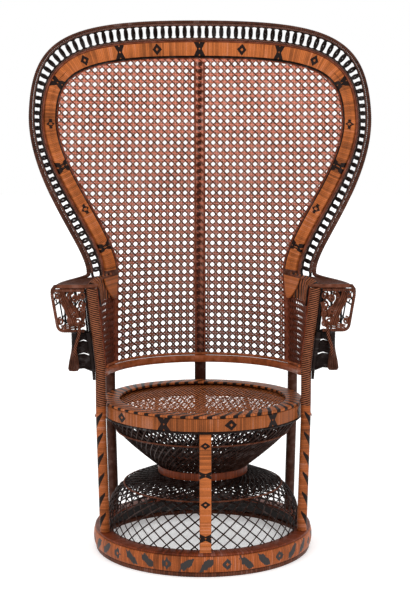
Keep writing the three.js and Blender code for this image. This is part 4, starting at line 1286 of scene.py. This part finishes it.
def make_back_border():
    sizes = bpy.context.scene.chair_sizes
    half, depth, chamfer = BAND_WIDTH / 2, BAND_DEPTH, BAND_CHAMFER
    front = [
        (half * math.sin(t), -depth - BAND_CROWN * math.cos(t) ** 2)
        for t in (math.radians(d) for d in range(80, -81, -8))
    ]
    section = [(-half, 0), (-half, depth - chamfer), (-half + chamfer, depth)]
    section += [(half - chamfer, depth), (half, depth - chamfer), (half, 0), *front]

    def inlay(u, v):
        share = 2 * u - 1
        number = np.interp(abs(share), BAND_MOTIF_SHARES, range(len(BAND_MOTIF_SHARES)))
        return math.copysign(number, share), around(section, v)[0] / half

    wraps = round(BAND_LINE.length / sizes.wrap_width)
    band = fan_bar(BAND_LINE, section, wraps, 0.5 * MM, inlay)
    hang(band, "back_band_wrapping", "band_wrap", "back_band")
    wraps = round(BAND_LINE.length / (5 * MM))
    for name, offset, finish_name in (
        ("inner_bead", -BEAD_OFFSET, "dark_reed"),
        ("outer_bead", BEAD_OFFSET, "braid_reed"),
    ):
        core = ring_section(BEAD_DIAMETER / 2 + 0.8 * MM, 8, offset * 0.98)
        bead = fan_bar(BAND_LINE, core, wraps, 0.5 * MM)
        hang(bead, f"{name}_wrapping", finish_name, name)
    lay_cord(BAND_LINE, BEAD_OFFSET + BEAD_DIAMETER / 2, 1, "border_foot_cord")
    lay_cord(RIM_LINE, -RIM_DIAMETER / 2, -1, "border_head_cord")
    wraps = round(RIM_LINE.length / (6 * MM))
    rim = fan_bar(RIM_LINE, ring_section(RIM_DIAMETER / 2, 10), wraps, 0.4 * MM)
    hang(rim, "rim_hoop_wrapping", "hoop_wrap", "rim_hoop")
    make_loops()


# The border's cords are thickest at the crown, and slim by this share of the way down.
CORD_CROWN_RADIUS, CORD_SIDE_RADIUS = 4.4 * MM, 2.3 * MM
CORD_SLIM_SHARE = 0.4


def lay_cord(line, edge, side, name):
    """A wound cord beside a hoop of the border."""
    wraps = round(line.length / (6 * MM))
    steps = 2 * wraps

    def where(u, v):
        share = 2 * u - 1
        slim = min(abs(share) / CORD_SLIM_SHARE, 1)
        radius = lerp(CORD_CROWN_RADIUS, CORD_SIDE_RADIUS, slim)
        reach = radius - groove(u, steps, 0.5 * MM)
        angle = 2 * math.pi * v
        spot = line.beside(share, edge + side * 0.8 * radius + reach * math.cos(angle))
        return back_point(*spot, reach * math.sin(angle) - 1.6 * MM)

    hang(rolled_grid(steps, 8, where, wraps), name, "border_cord")


LOOP_THICKNESS = 3.5 * MM
# Half a loop's width in spaces between loops, and how square its oval is.
LOOP_HALF_WIDTH = 0.66
LOOP_SQUARENESS = 0.7
LOOP_WEAVE = 1.6 * MM
LOOP_ROOT = BEAD_OFFSET + BEAD_DIAMETER / 2 + LOOP_THICKNESS
# The ring that each loop is bent from has a radius of 1 and this one of section.
PATTERN_RADIUS = 0.1


def make_loops():
    """Oval loops between the band and the rim, each laced over one neighbour."""
    sizes = bpy.context.scene.chair_sizes
    bpy.ops.object.select_all(action="DESELECT")
    bpy.ops.mesh.primitive_torus_add(
        major_segments=18, minor_segments=4, major_radius=1, minor_radius=PATTERN_RADIUS
    )
    pattern = bpy.context.object
    gaps = BAND_LINE.gaps_to(RIM_LINE, -RIM_DIAMETER / 2 - LOOP_THICKNESS)
    shares = np.linspace(-1, 1, 401)
    middle = [BAND_LINE.beside(a, (LOOP_ROOT + np.interp(abs(a), *gaps)) / 2) for a in shares]
    lengths = np.hypot(*np.diff(np.array(middle), axis=0).T)
    places = np.concatenate([[0], np.cumsum(lengths)]) / sum(lengths) * sizes.loop_count

    def place(number):
        share = float(np.interp(number, places, shares))
        return share, float(np.interp(abs(share), *gaps))

    loops = []
    for number in range(sizes.loop_count):
        select_only(pattern)
        bpy.ops.object.duplicate()
        loops.append(bpy.context.object)
        lay_loop(loops[-1], number + 0.5, place)
    bpy.data.objects.remove(pattern)
    select_only(loops[0])
    for loop in loops:
        loop.select_set(True)
    bpy.ops.object.join()
    hang(bpy.context.object, "border_loops", "dark_reed", "loop_border")


def lay_loop(loop, number, place):
    """Bends one flat ring into an oval loop at its place in the border."""
    scale = LOOP_THICKNESS / PATTERN_RADIUS
    for vertex in loop.data.vertices:
        x, y, lift = vertex.co
        angle = math.atan2(y, x)
        across, up = math.cos(angle), math.sin(angle)
        along, gap = place(number + LOOP_HALF_WIDTH * across)
        inner = np.array(BAND_LINE.beside(along, LOOP_ROOT))
        outer = np.array(BAND_LINE.beside(along, gap))
        tall = (outer - inner) / np.linalg.norm(outer - inner)
        wide = np.array((tall[1], -tall[0]))
        rise = 0.5 + 0.5 * math.copysign(abs(up) ** LOOP_SQUARENESS, up)
        spot = inner + (outer - inner) * rise
        spot += scale * (math.hypot(x, y) - 1) * (tall * up + wide * across)
        vertex.co = back_point(*spot, LOOP_WEAVE * across + scale * lift)


WING_STAKES = 20
WING_STEPS = 20
STAKE_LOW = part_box("wing_stakes_right")[0].z


def make_wings():
    sizes = bpy.context.scene.chair_sizes
    line = [wing_point(k / WING_STEPS, STAKE_LOW) for k in range(WING_STEPS + 1)]
    length = sum((after - before).length for before, after in zip(line, line[1:]))
    high = STAKE_LOW - 1 * MM

    def inside(x, height):
        share = x / length + 0.5
        return 0 < share < 1 and wing_rail_top(share) + 1 * MM < height < high

    def place(x, z, out):
        return wing_point(x / length + 0.5, z, out - 2 * MM)

    weave = CaneWeave(sizes.weave_across * 0.75, sizes.weave_up * 0.8, RAIL_TOP, high)
    strands = weave.strands(length / 2, inside)
    for paths, name in zip(strands, ("uprights", "levels", "diagonals")):
        sheet = flat_cane(paths, 4 * MM, place, weave.cell)
        nodes = ("wing_panel",) if name == "uprights" else ()
        hang_pair(sheet, f"wing_weave_{name}", "wing_cane", *nodes)
    edges = []
    for share, out in ((0.01, -2.5), (0.03, -2.5), (0.98, -1), (1.0, 2)):
        ends = wing_rail_top(share) + 1 * MM, ARM_POST_TOP
        edges.append([wing_point(share, lerp(*ends, k / 14), out * MM) for k in range(15)])
    hang_pair(reeds(edges, 3.2 * MM, 1), "wing_edge_reeds", "edge_cane")
    stakes = [wing_stake(lerp(0.02, 0.99, k / (WING_STAKES - 1))) for k in range(WING_STAKES)]
    hang_pair(reeds(stakes[::2], 3.9 * MM, 1), "wing_stake_reeds", "tan_reed", "wing_stakes")
    hang_pair(reeds(stakes[1::2], 3.5 * MM, 1), "wing_stake_dark_reeds", "dark_reed")
    make_band_tails()


def wing_stake(share):
    """A stake that stands on the wing and bends back over the arm's inner rail."""
    rail = POST_BEHIND_SHEET * share**2
    spots = (
        (STAKE_LOW, -4 * MM),
        (lerp(STAKE_LOW, ARM_POST_TOP, 0.8), -4 * MM),
        (ARM_POST_TOP + 5 * MM, -1 * MM),
        (ARM_HEIGHT + 2 * MM, rail),
        (ARM_HEIGHT - 8 * MM, rail + 9 * MM),
    )
    return [wing_point(share, height, out) for height, out in spots]


TAIL_FOOT = ARM_HEIGHT - 66 * MM
TAIL_WRAPS = 13
# Where the turns of reed lie round the band's end, as shares along the band.
COLLAR_SHARES = (0.986, 0.989, 0.992, 0.995, 0.998)


def make_band_tails():
    """Each end of the band, which tapers down over the rear of the wing."""
    half = BAND_SIDE_WIDTH / 2
    section = box_section((-half, -2 * MM), (half, 2 * MM), 1.5 * MM)

    def where(u, v):
        aside, out = around(section, v)
        share = lerp(lerp(0.03, 0.08, u), lerp(0.46, 0.16, u**1.4), aside / (2 * half) + 0.5)
        return wing_point(share, lerp(ARM_HEIGHT - 3 * MM, TAIL_FOOT, u), out - 11 * MM)

    tail = rolled_grid(2 * TAIL_WRAPS, len(section), where, TAIL_WRAPS)
    hang_pair(tail, "band_tail_wrapping", "honey_wrap")
    turns = []
    for share in COLLAR_SHARES:
        across = [fan_point(BAND_LINE, share, aside * MM, -14 * MM) for aside in range(-20, 21, 4)]
        ends = [fan_point(BAND_LINE, share, aside * MM, -3 * MM) for aside in (-22, 22)]
        turns.append([ends[0], *across, ends[1]])
    hang_pair(reeds(turns, 2.4 * MM, 1), "band_collar_reeds", "bell_reed")


def arm_end_spots(count):
    """Points along the arm's end outline, in its front plane."""
    post_edge = front_post_axis(ARM_POST_TOP).x + POST_RADIUS
    start = post_edge + CLEARANCE + ARM_END_DIAMETER / 2
    corners = [
        (start, ARM_END_HEIGHT),
        (ARM_REACH, ARM_END_HEIGHT),
        (ARM_REACH - ARM_SLANT, ARM_LOW_HEIGHT),
        (ARM_REACH - ARM_RETURN, ARM_LOW_HEIGHT),
    ]
    return evenly(rounded(corners, ARM_CORNER, closed=False, steps=6), count)


def plane_tube(spots, radius, wraps, y):
    """A wound tube along (x, height) spots in an upright plane."""
    steps = 2 * wraps
    spots = evenly(spots, steps + 1)

    def where(u, v):
        k = round(u * steps)
        along = (spots[min(k + 1, steps)] - spots[max(k - 1, 0)]).normalized()
        reach = radius - groove(u, steps, 0.4 * MM)
        angle = 2 * math.pi * v
        x = spots[k].x + reach * math.cos(angle) * along.y
        z = spots[k].y - reach * math.cos(angle) * along.x
        return Vector((x, y + reach * math.sin(angle), z))

    return rolled_grid(steps, 10, where, wraps)


def make_arms():
    outline = arm_end_spots(80)
    hoop = plane_tube(outline, ARM_END_DIAMETER / 2, 48, ARM_PLANE_Y)
    hang_pair(hoop, "arm_end_wrapping", "brown_wrap", "arm_end_hoop")
    make_arm_rests()
    make_arm_rails()
    make_arm_curls()
    make_arm_hangers()


REST_OUTLINE = arm_end_spots(60)[:50]


def rest_point(share, back):
    """A point of the arm's rolled rest: round its end outline, and back to its tail."""
    reach = share * (len(REST_OUTLINE) - 1)
    k = min(int(reach), len(REST_OUTLINE) - 2)
    spot = REST_OUTLINE[k].lerp(REST_OUTLINE[k + 1], reach - k)
    size = lerp(1, ARM_TAIL_SHARE, back)
    x = REST_OUTLINE[0].x + (spot.x - REST_OUTLINE[0].x) * size
    z = ARM_END_HEIGHT + (spot.y - ARM_END_HEIGHT) * size
    front = ARM_PLANE_Y + ARM_END_DIAMETER / 2 + CLEARANCE + 1 * MM
    return Vector((x, lerp(front, ARM_TAIL_Y, back), z))


# Where the long reeds of the rest run, as shares round it, and where the lacing stops.
REST_SHARES = (0, 0.1, 0.2, 0.3, 0.4, 0.5, 0.58, 0.82, 0.91, 1)
LACING_END = 0.58


def make_arm_rests():
    """Openwork of long reeds and hoops, with thin lacing across them."""
    long_reeds = [[rest_point(share, k / 16) for k in range(17)] for share in REST_SHARES]
    hoops = [[rest_point(k / 30, j / 5) for k in range(31)] for j in range(6)]
    rest = reeds(long_reeds + hoops, 2.2 * MM, 1)
    hang_pair(rest, "arm_rest_reeds", "dark_reed", "arm_rest")
    lacing = []
    for i in range(-10, 17):
        for hand in (-1, 1):
            shares = [(i + hand * k * 0.42) / 11 for k in range(25)]
            spots = [(share, k / 24) for k, share in enumerate(shares) if 0 <= share <= LACING_END]
            if len(spots) > 2:
                lacing.append([rest_point(*spot) for spot in spots])
    hang_pair(reeds(lacing, 1.4 * MM), "arm_rest_lacing", "dark_reed")


ARM_RAIL_RADIUS = 5.4 * MM
ARM_RAIL_HEIGHT = ARM_HEIGHT - 6 * MM
ARM_TOP_REEDS = 10


def make_arm_rails():
    height = ARM_RAIL_HEIGHT
    shares = np.linspace(0.12, 1, 24)
    inner = [wing_point(s, height, POST_BEHIND_SHEET * s**2) for s in shares]
    hang_pair(reeds([inner], 6 * MM, 3), "arm_inner_rail_reed", "brown_reed", "arm_inner_rail")
    foot = fan_point(RIM_LINE, 1)
    foot.z -= CLEARANCE
    reach = ARM_REACH - ARM_CORNER
    bend = (foot.x, foot.y, height), (reach, lerp(foot.y, ARM_PLANE_Y, 0.4), height)
    outer = [Vector(spot) for spot in bezier(foot, *bend, (reach, ARM_PLANE_Y, height), 40)]
    over = [(-10, -1, height), (-4, -2, ARM_END_HEIGHT + 2 * MM), (-3, -1, ARM_END_HEIGHT - 7 * MM)]
    corner = [Vector((ARM_REACH + x * MM, ARM_PLANE_Y + y * MM, z)) for x, y, z in over]
    rail = reeds([outer + corner], ARM_RAIL_RADIUS, 3)
    hang_pair(rail, "arm_outer_rail_reed", "bell_reed", "arm_outer_rail")
    post_x = front_post_axis(ARM_POST_TOP).x + POST_RADIUS
    start = Vector((post_x - 30 * MM, inner[-1].y, height))
    turn = Vector((post_x, ARM_PLANE_Y - 1 * MM, height))
    front = evenly([start, turn, Vector((reach, ARM_PLANE_Y, height))], 9)
    hang_pair(reeds([front], ARM_RAIL_RADIUS, 3), "arm_front_reed", "brown_reed")
    top = [arm_top_reed(inner, outer, k / (ARM_TOP_REEDS - 1)) for k in range(ARM_TOP_REEDS)]
    hang_pair(reeds(top, 3.6 * MM), "arm_top_reeds", "bell_reed", "arm_top")


def arm_top_reed(inner, outer, across):
    """A reed of the arm's flat top, at a share of the way from its inner rail to its outer."""
    line = []
    for k in range(13):
        share = lerp(0.1, 0.98, k / 12)
        near = inner[round(share * (len(inner) - 1))]
        far = outer[round(share * (len(outer) - 1))].copy()
        far.z = ARM_RAIL_HEIGHT
        inward = (far - near).normalized() * 8 * MM
        line.append((near + inward).lerp(far - inward, across))
    return line


# Scrolls in the arm's end: middle, radius, first angle in degrees and depth in reeds.
ARM_SCROLLS = (
    (0.386, 0.650, 0.012, 100, 0),
    (0.328, 0.719, 0.012, 30, 1),
    (0.346, 0.710, 0.012, 200, 0),
    (0.330, 0.693, 0.013, 300, 1),
    (0.327, 0.668, 0.013, 80, 1),
    (0.347, 0.676, 0.013, 250, 0),
    (0.340, 0.648, 0.014, 120, -1),
    (0.326, 0.643, 0.010, 20, 0),
    (0.360, 0.652, 0.012, 160, 1),
    (0.392, 0.718, 0.009, 60, 0),
)
# Ribbons of reeds side by side, as a curve's four corners and a number of reeds.
ARM_RIBBONS = (
    ((0.384, 0.729), (0.382, 0.702), (0.362, 0.690), (0.350, 0.638), 4),
    ((0.352, 0.729), (0.384, 0.712), (0.344, 0.694), (0.341, 0.660), 2),
    ((0.332, 0.636), (0.350, 0.640), (0.365, 0.634), (0.384, 0.631), 3),
    ((0.321, 0.700), (0.330, 0.672), (0.319, 0.655), (0.334, 0.634), 2),
)
ARM_CURL_RADIUS = 2.7 * MM
BRACE_LOW, BRACE_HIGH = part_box("arm_brace_right")
# Dark stays beside the post: in mm to its right and behind it, and their foot's height.
POST_STAY_TOP = 0.735
POST_STAYS = ((17.2, 0, 0.6), (13.5, 9, BRACE_LOW.z + 20 * MM), (24, 9, 0.6))
# Dark stays behind the curls, as distances to the chair's right.
END_STAYS = (0.347, 0.362, 0.374)


def arm_scroll(x, z, reach, first, depth):
    """A reed coiled inwards in the arm's front plane."""
    turns = (reach - 2 * MM) / (2.4 * ARM_CURL_RADIUS)
    steps = round(turns * 18)
    path = []
    for share in (k / steps for k in range(steps + 1)):
        arm = lerp(reach - ARM_CURL_RADIUS, 2 * MM, share)
        angle = math.radians(first) - 2 * math.pi * turns * share
        y = ARM_PLANE_Y + 4 * depth * MM - 4 * MM * share
        path.append((x + arm * math.cos(angle), y, z + 1.2 * arm * math.sin(angle)))
    return path


def arm_ribbon(corners, count):
    """Reeds side by side along a curve in the arm's front plane, bulging in turn."""
    spots = bezier(*corners, 20)
    along = np.gradient(spots, axis=0)
    aside = np.stack([along[:, 1], -along[:, 0]], axis=1)
    aside /= np.linalg.norm(along, axis=1)[:, None]
    paths = []
    for k in range(count):
        moved = spots + aside * ((k - (count - 1) / 2) * 2 * ARM_CURL_RADIUS)
        bulge = [3 * MM * math.sin(math.pi * n / 19 + k) for n in range(20)]
        paths.append([(x, ARM_PLANE_Y + y, z) for (x, z), y in zip(moved, bulge)])
    return paths


def make_arm_curls():
    """Ribbons and scrolls of reed in the arm's front end, over a screen of dark stays."""
    curls = [arm_scroll(*scroll) for scroll in ARM_SCROLLS]
    for *corners, count in ARM_RIBBONS:
        curls += arm_ribbon(corners, count)
    hang_pair(reeds(curls, ARM_CURL_RADIUS, 1), "arm_scroll_reeds", "brown_reed", "arm_scroll")
    stays = []
    for aside, behind, low in POST_STAYS:
        offset = Vector((aside * MM, behind * MM, 0))
        stays.append(evenly([front_post_axis(z) + offset for z in (POST_STAY_TOP, low)], 8))
    for x in END_STAYS:
        ends = [Vector((x, ARM_PLANE_Y + 13 * MM, z)) for z in (ARM_END_HEIGHT, ARM_LOW_HEIGHT)]
        stays.append(evenly(ends, 4))
    hang_pair(reeds(stays, 3 * MM, 1), "arm_stay_reeds", "dark_reed")


CORBEL_LOW, CORBEL_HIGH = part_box("arm_corbel_right")


def make_arm_hangers():
    low, high = CORBEL_LOW, CORBEL_HIGH

    def corbel_centre(u):
        x = lerp(high.x - 8 * MM, low.x + 19 * MM, u)
        return Vector((x, (low.y + high.y) / 2, lerp(low.z, high.z, u)))

    def corbel_radius(u):
        return 8.5 * MM + 2.5 * MM * max((u - 0.45) / 0.55, 0) ** 1.3

    hanger = upright_bar(corbel_centre, corbel_radius, 52, 16, 0.9 * MM, 26)
    hang_pair(hanger, "arm_corbel_wrapping", "dark_wrap", "arm_corbel")

    def brace_radius(u):
        return lerp(4 * MM, 9 * MM, u)

    def brace_centre(u):
        beside = on_axis(POST_RADIUS + CLEARANCE + brace_radius(u), FRONT_POST_ANGLE, 0)
        beside.y -= AXIS_Y
        return front_post_axis(lerp(BRACE_LOW.z, BRACE_HIGH.z, u)) + beside

    brace = upright_bar(brace_centre, brace_radius, 60, 14, 0.7 * MM, 30)
    hang_pair(brace, "arm_brace_wrapping", "dark_wrap", "arm_brace")
    make_arm_gussets()


GUSSET_REEDS = 21
GUSSET_PARTINGS = (5, 12)
BELL_RIBS = 15
# The bell's outline, as shares down it and radii in mm, and the ribbed member's (x, height).
BELL_OUTLINE = ((0, 4), (0.35, 6.5), (0.75, 12), (0.94, 13.5), (1, 11))
ARM_RIB = ((0.334, 0.640), (0.337, 0.612), (0.346, 0.582), (0.348, 0.556))


def make_arm_gussets():
    """A dark web of reeds under each arm, between its corbel and its brace."""
    low, high = CORBEL_LOW, CORBEL_HIGH
    web = []
    for k in range(GUSSET_REEDS):
        share = k / (GUSSET_REEDS - 1)
        x = lerp(low.x + 15 * MM, high.x - 9 * MM, share)
        z = lerp(high.z, low.z + 6 * MM, share)
        from_corbel = Vector((x, (low.y + high.y) / 2 + 4 * MM, z))
        parting = 5 * MM if k in GUSSET_PARTINGS else 0
        height = lerp(BRACE_HIGH.z, BRACE_LOW.z + 24 * MM, share)
        to_brace = front_post_axis(height) + Vector((19 * MM, -2 * MM, parting))
        halfway = (from_corbel + to_brace) / 2 + Vector((0, 2 * MM, 6 * MM))
        web.append(evenly([from_corbel, halfway, to_brace], 9))
    hang_pair(reeds(web, 3 * MM, 1), "arm_gusset_reeds", "dark_reed")
    knot = Vector((low.x + 21 * MM, web[0][0].y - 6 * MM, high.z - 22 * MM))
    foot = Vector((low.x + 24 * MM, knot.y, low.z + 2 * MM))
    bell = []
    for k in range(BELL_RIBS):
        angle = 2 * math.pi * k / BELL_RIBS
        spoke = Vector((math.cos(angle), 0.6 * math.sin(angle), 0))
        bell.append([knot.lerp(foot, share) + spoke * reach * MM for share, reach in BELL_OUTLINE])
    bell.append([path[-1] for path in bell] + [bell[0][-1]])
    hang_pair(reeds(bell, 1.9 * MM, 1), "arm_bell_reeds", "bell_reed")
    rib = evenly([Vector(spot) for spot in ARM_RIB], 26)
    ribbed = plane_tube(rib, 4.5 * MM, 12, knot.y - 7 * MM)
    hang_pair(ribbed, "arm_rib_wrapping", "rib_cord")


# The photograph's camera, and the studio's area lights: place, power's name and size.
CAMERA_PLACE = (-0.0881, AXIS_Y - 3.5, 1.0971)
CAMERA_PITCH, CAMERA_YAW = -0.1138, -0.027
CAMERA_LENS = 76.24
LIGHTS = (
    ((-2.2, -2.6, 2.6), "key_power", 1.8),
    ((2.4, -2.2, 2.2), "fill_power", 1.8),
    ((0.0, 1.6, 3.2), "top_power", 2.2),
)
LIGHT_TARGET = Vector((0, 0, 0.8))


def floor_finish(colour):
    """Matt paint that glows a little, as painted light that lightens the chair's shadow, and fades
    to white away from the chair.
    """
    finish = Finish("floor_paint", None, roughness=0.8)
    finish.shader.inputs["Specular IOR Level"].default_value = 0
    # Painted light: the floor's own glow lightens the chair's shadow on it.
    finish.shader.inputs["Emission Color"].default_value = (1, 1, 1, 1)
    finish.shader.inputs["Emission Strength"].default_value = 0.3
    reach = finish.node(
        "ShaderNodeVectorMath", {"operation": "LENGTH"}, {0: finish.object_point()}, output=1
    )
    distance = (reach - 0.8) / 3
    finish.colour(distance.ramp((0, colour), (1, (1, 1, 1))))
    return finish


def make_stage():
    """A level, pale floor, soft lights and the photograph's camera."""
    stage = bpy.context.scene.chair_stage
    bpy.ops.object.select_all(action="DESELECT")
    bpy.ops.mesh.primitive_plane_add(size=60, location=(0, 0, 0))
    floor = bpy.context.object
    floor.name = "floor"
    floor.data.materials.append(floor_finish(tuple(stage.floor_colour)).material)
    world = bpy.data.worlds.new("studio")
    world.use_nodes = True
    background = world.node_tree.nodes["Background"]
    background.inputs["Color"].default_value = (1, 1, 1, 1)
    background.inputs["Strength"].default_value = stage.ambient
    bpy.context.scene.world = world
    for place, power, size in LIGHTS:
        bpy.ops.object.light_add(type="AREA", location=place)
        light = bpy.context.object
        light.data.energy = getattr(stage, power)
        light.data.size = size
        aim = LIGHT_TARGET - light.location
        light.rotation_euler = aim.to_track_quat("-Z", "Y").to_euler()
    rotation = (math.pi / 2 + CAMERA_PITCH, 0, CAMERA_YAW)
    bpy.ops.object.camera_add(location=CAMERA_PLACE, rotation=rotation)
    camera = bpy.context.object
    camera.data.lens = CAMERA_LENS
    bpy.context.scene.camera = camera
    bpy.context.scene.view_settings.view_transform = "Standard"


def size_property(name, description, default):
    return FloatProperty(name=name, description=description, default=default, subtype="DISTANCE")


class ChairSizes(bpy.types.PropertyGroup):
    """Sizes and counts of the woven work."""

    wrap_width: size_property("Wrap width", "Width of one wrap of cane", 5 * MM)
    weave_across: size_property("Weave across", "Distance across between the back's holes", 21 * MM)
    weave_up: size_property("Weave up", "Distance upwards between the back's holes", 21.5 * MM)
    seat_pitch: size_property("Seat pitch", "Distance between the seat panel's strands", 10 * MM)
    seat_strand: size_property("Seat strand", "Width of the seat panel's strands", 4.5 * MM)
    loop_count: IntProperty(name="Loops", description="Loops in the back's border", default=102)
    dome_reeds: IntProperty(name="Dome reeds", description="Reeds each way in the dome", default=44)
    bowl_reeds: IntProperty(name="Bowl reeds", description="Reeds each way in the bowl", default=72)


def colour_property(name, description, default):
    return FloatVectorProperty(
        name=name, description=description, default=default, subtype="COLOR", min=0, max=1
    )


class ChairColours(bpy.types.PropertyGroup):
    """Stains of the cane and reed."""

    honey: colour_property("Honey", "Wrapped cane", (0.41, 0.112, 0.028))
    red: colour_property("Red", "Woven cane", (0.27, 0.052, 0.016))
    brown: colour_property("Brown", "Hoops and bindings", (0.115, 0.034, 0.016))
    dark: colour_property("Dark", "Lattices, loops and inlay", (0.009, 0.004, 0.003))


class ChairStage(bpy.types.PropertyGroup):
    """The floor and the studio's light."""

    floor_colour: colour_property("Floor", "Colour of the floor", (0.9, 0.9, 0.9))
    ambient: FloatProperty(name="Ambient", description="Light from all round", default=1.0)
    key_power: FloatProperty(name="Key", description="Left light", default=30, unit="POWER")
    fill_power: FloatProperty(name="Fill", description="Right light", default=18, unit="POWER")
    top_power: FloatProperty(name="Top", description="Light from above", default=15, unit="POWER")


class CHAIR_OT_base_ring(bpy.types.Operator):
    """Wraps the foot hoop, the base band and its ledge"""

    bl_idname = "chair.base_ring"
    bl_label = "Base ring"

    def execute(self, context):
        make_base_ring()
        return {"FINISHED"}


class CHAIR_OT_hourglass(bpy.types.Operator):
    """Laces the dome and the bowl, and wraps the waist between them"""

    bl_idname = "chair.hourglass"
    bl_label = "Hourglass"

    def execute(self, context):
        make_hourglass()
        return {"FINISHED"}


class CHAIR_OT_seat(bpy.types.Operator):
    """Wraps the seat's drum and rim, and weaves its panel"""

    bl_idname = "chair.seat"
    bl_label = "Seat"

    def execute(self, context):
        make_seat()
        return {"FINISHED"}


class CHAIR_OT_posts(bpy.types.Operator):
    """Wraps and binds the round and flat posts"""

    bl_idname = "chair.posts"
    bl_label = "Posts"

    def execute(self, context):
        make_posts()
        make_rail()
        return {"FINISHED"}


class CHAIR_OT_back_weave(bpy.types.Operator):
    """Weaves the open cane of the back"""

    bl_idname = "chair.back_weave"
    bl_label = "Back weave"

    def execute(self, context):
        make_back_weave()
        return {"FINISHED"}


class CHAIR_OT_back_border(bpy.types.Operator):
    """Wraps the back's band, beads, cords and rim, and laces its loops"""

    bl_idname = "chair.back_border"
    bl_label = "Back border"

    def execute(self, context):
        make_back_border()
        return {"FINISHED"}


class CHAIR_OT_wings(bpy.types.Operator):
    """Weaves the wings and sets their stakes"""

    bl_idname = "chair.wings"
    bl_label = "Wings"

    def execute(self, context):
        make_wings()
        return {"FINISHED"}


class CHAIR_OT_arms(bpy.types.Operator):
    """Bends the arms' hoops, rests, curls and hangers"""

    bl_idname = "chair.arms"
    bl_label = "Arms"

    def execute(self, context):
        make_arms()
        return {"FINISHED"}


class CHAIR_OT_stage(bpy.types.Operator):
    """Sets the floor, the lights and the camera"""

    bl_idname = "chair.stage"
    bl_label = "Stage"

    def execute(self, context):
        make_stage()
        return {"FINISHED"}


OPERATORS = (
    CHAIR_OT_stage,
    CHAIR_OT_base_ring,
    CHAIR_OT_hourglass,
    CHAIR_OT_seat,
    CHAIR_OT_posts,
    CHAIR_OT_back_weave,
    CHAIR_OT_back_border,
    CHAIR_OT_wings,
    CHAIR_OT_arms,
)


class CHAIR_PT_panel(bpy.types.Panel):
    """The chair's sizes, colours and pieces"""

    bl_label = "Peacock Chair"
    bl_idname = "CHAIR_PT_panel"
    bl_space_type = "VIEW_3D"
    bl_region_type = "UI"
    bl_category = "Chair"

    def draw(self, context):
        for group in (
            context.scene.chair_sizes,
            context.scene.chair_colours,
            context.scene.chair_stage,
        ):
            box = self.layout.box()
            for name in group.__annotations__:
                box.prop(group, name)
        for operator in OPERATORS:
            self.layout.operator(operator.bl_idname)


CLASSES = (ChairSizes, ChairColours, ChairStage, *OPERATORS, CHAIR_PT_panel)


def register():
    for cls in CLASSES:
        bpy.utils.register_class(cls)
    bpy.types.Scene.chair_sizes = PointerProperty(type=ChairSizes)
    bpy.types.Scene.chair_colours = PointerProperty(type=ChairColours)
    bpy.types.Scene.chair_stage = PointerProperty(type=ChairStage)


def unregister():
    del bpy.types.Scene.chair_sizes
    del bpy.types.Scene.chair_colours
    del bpy.types.Scene.chair_stage
    for cls in reversed(CLASSES):
        bpy.utils.unregister_class(cls)


def main():
    register()
    for operator in OPERATORS:
        group, name = operator.bl_idname.split(".")
        getattr(getattr(bpy.ops, group), name)()


if __name__ == "__main__":
    main()
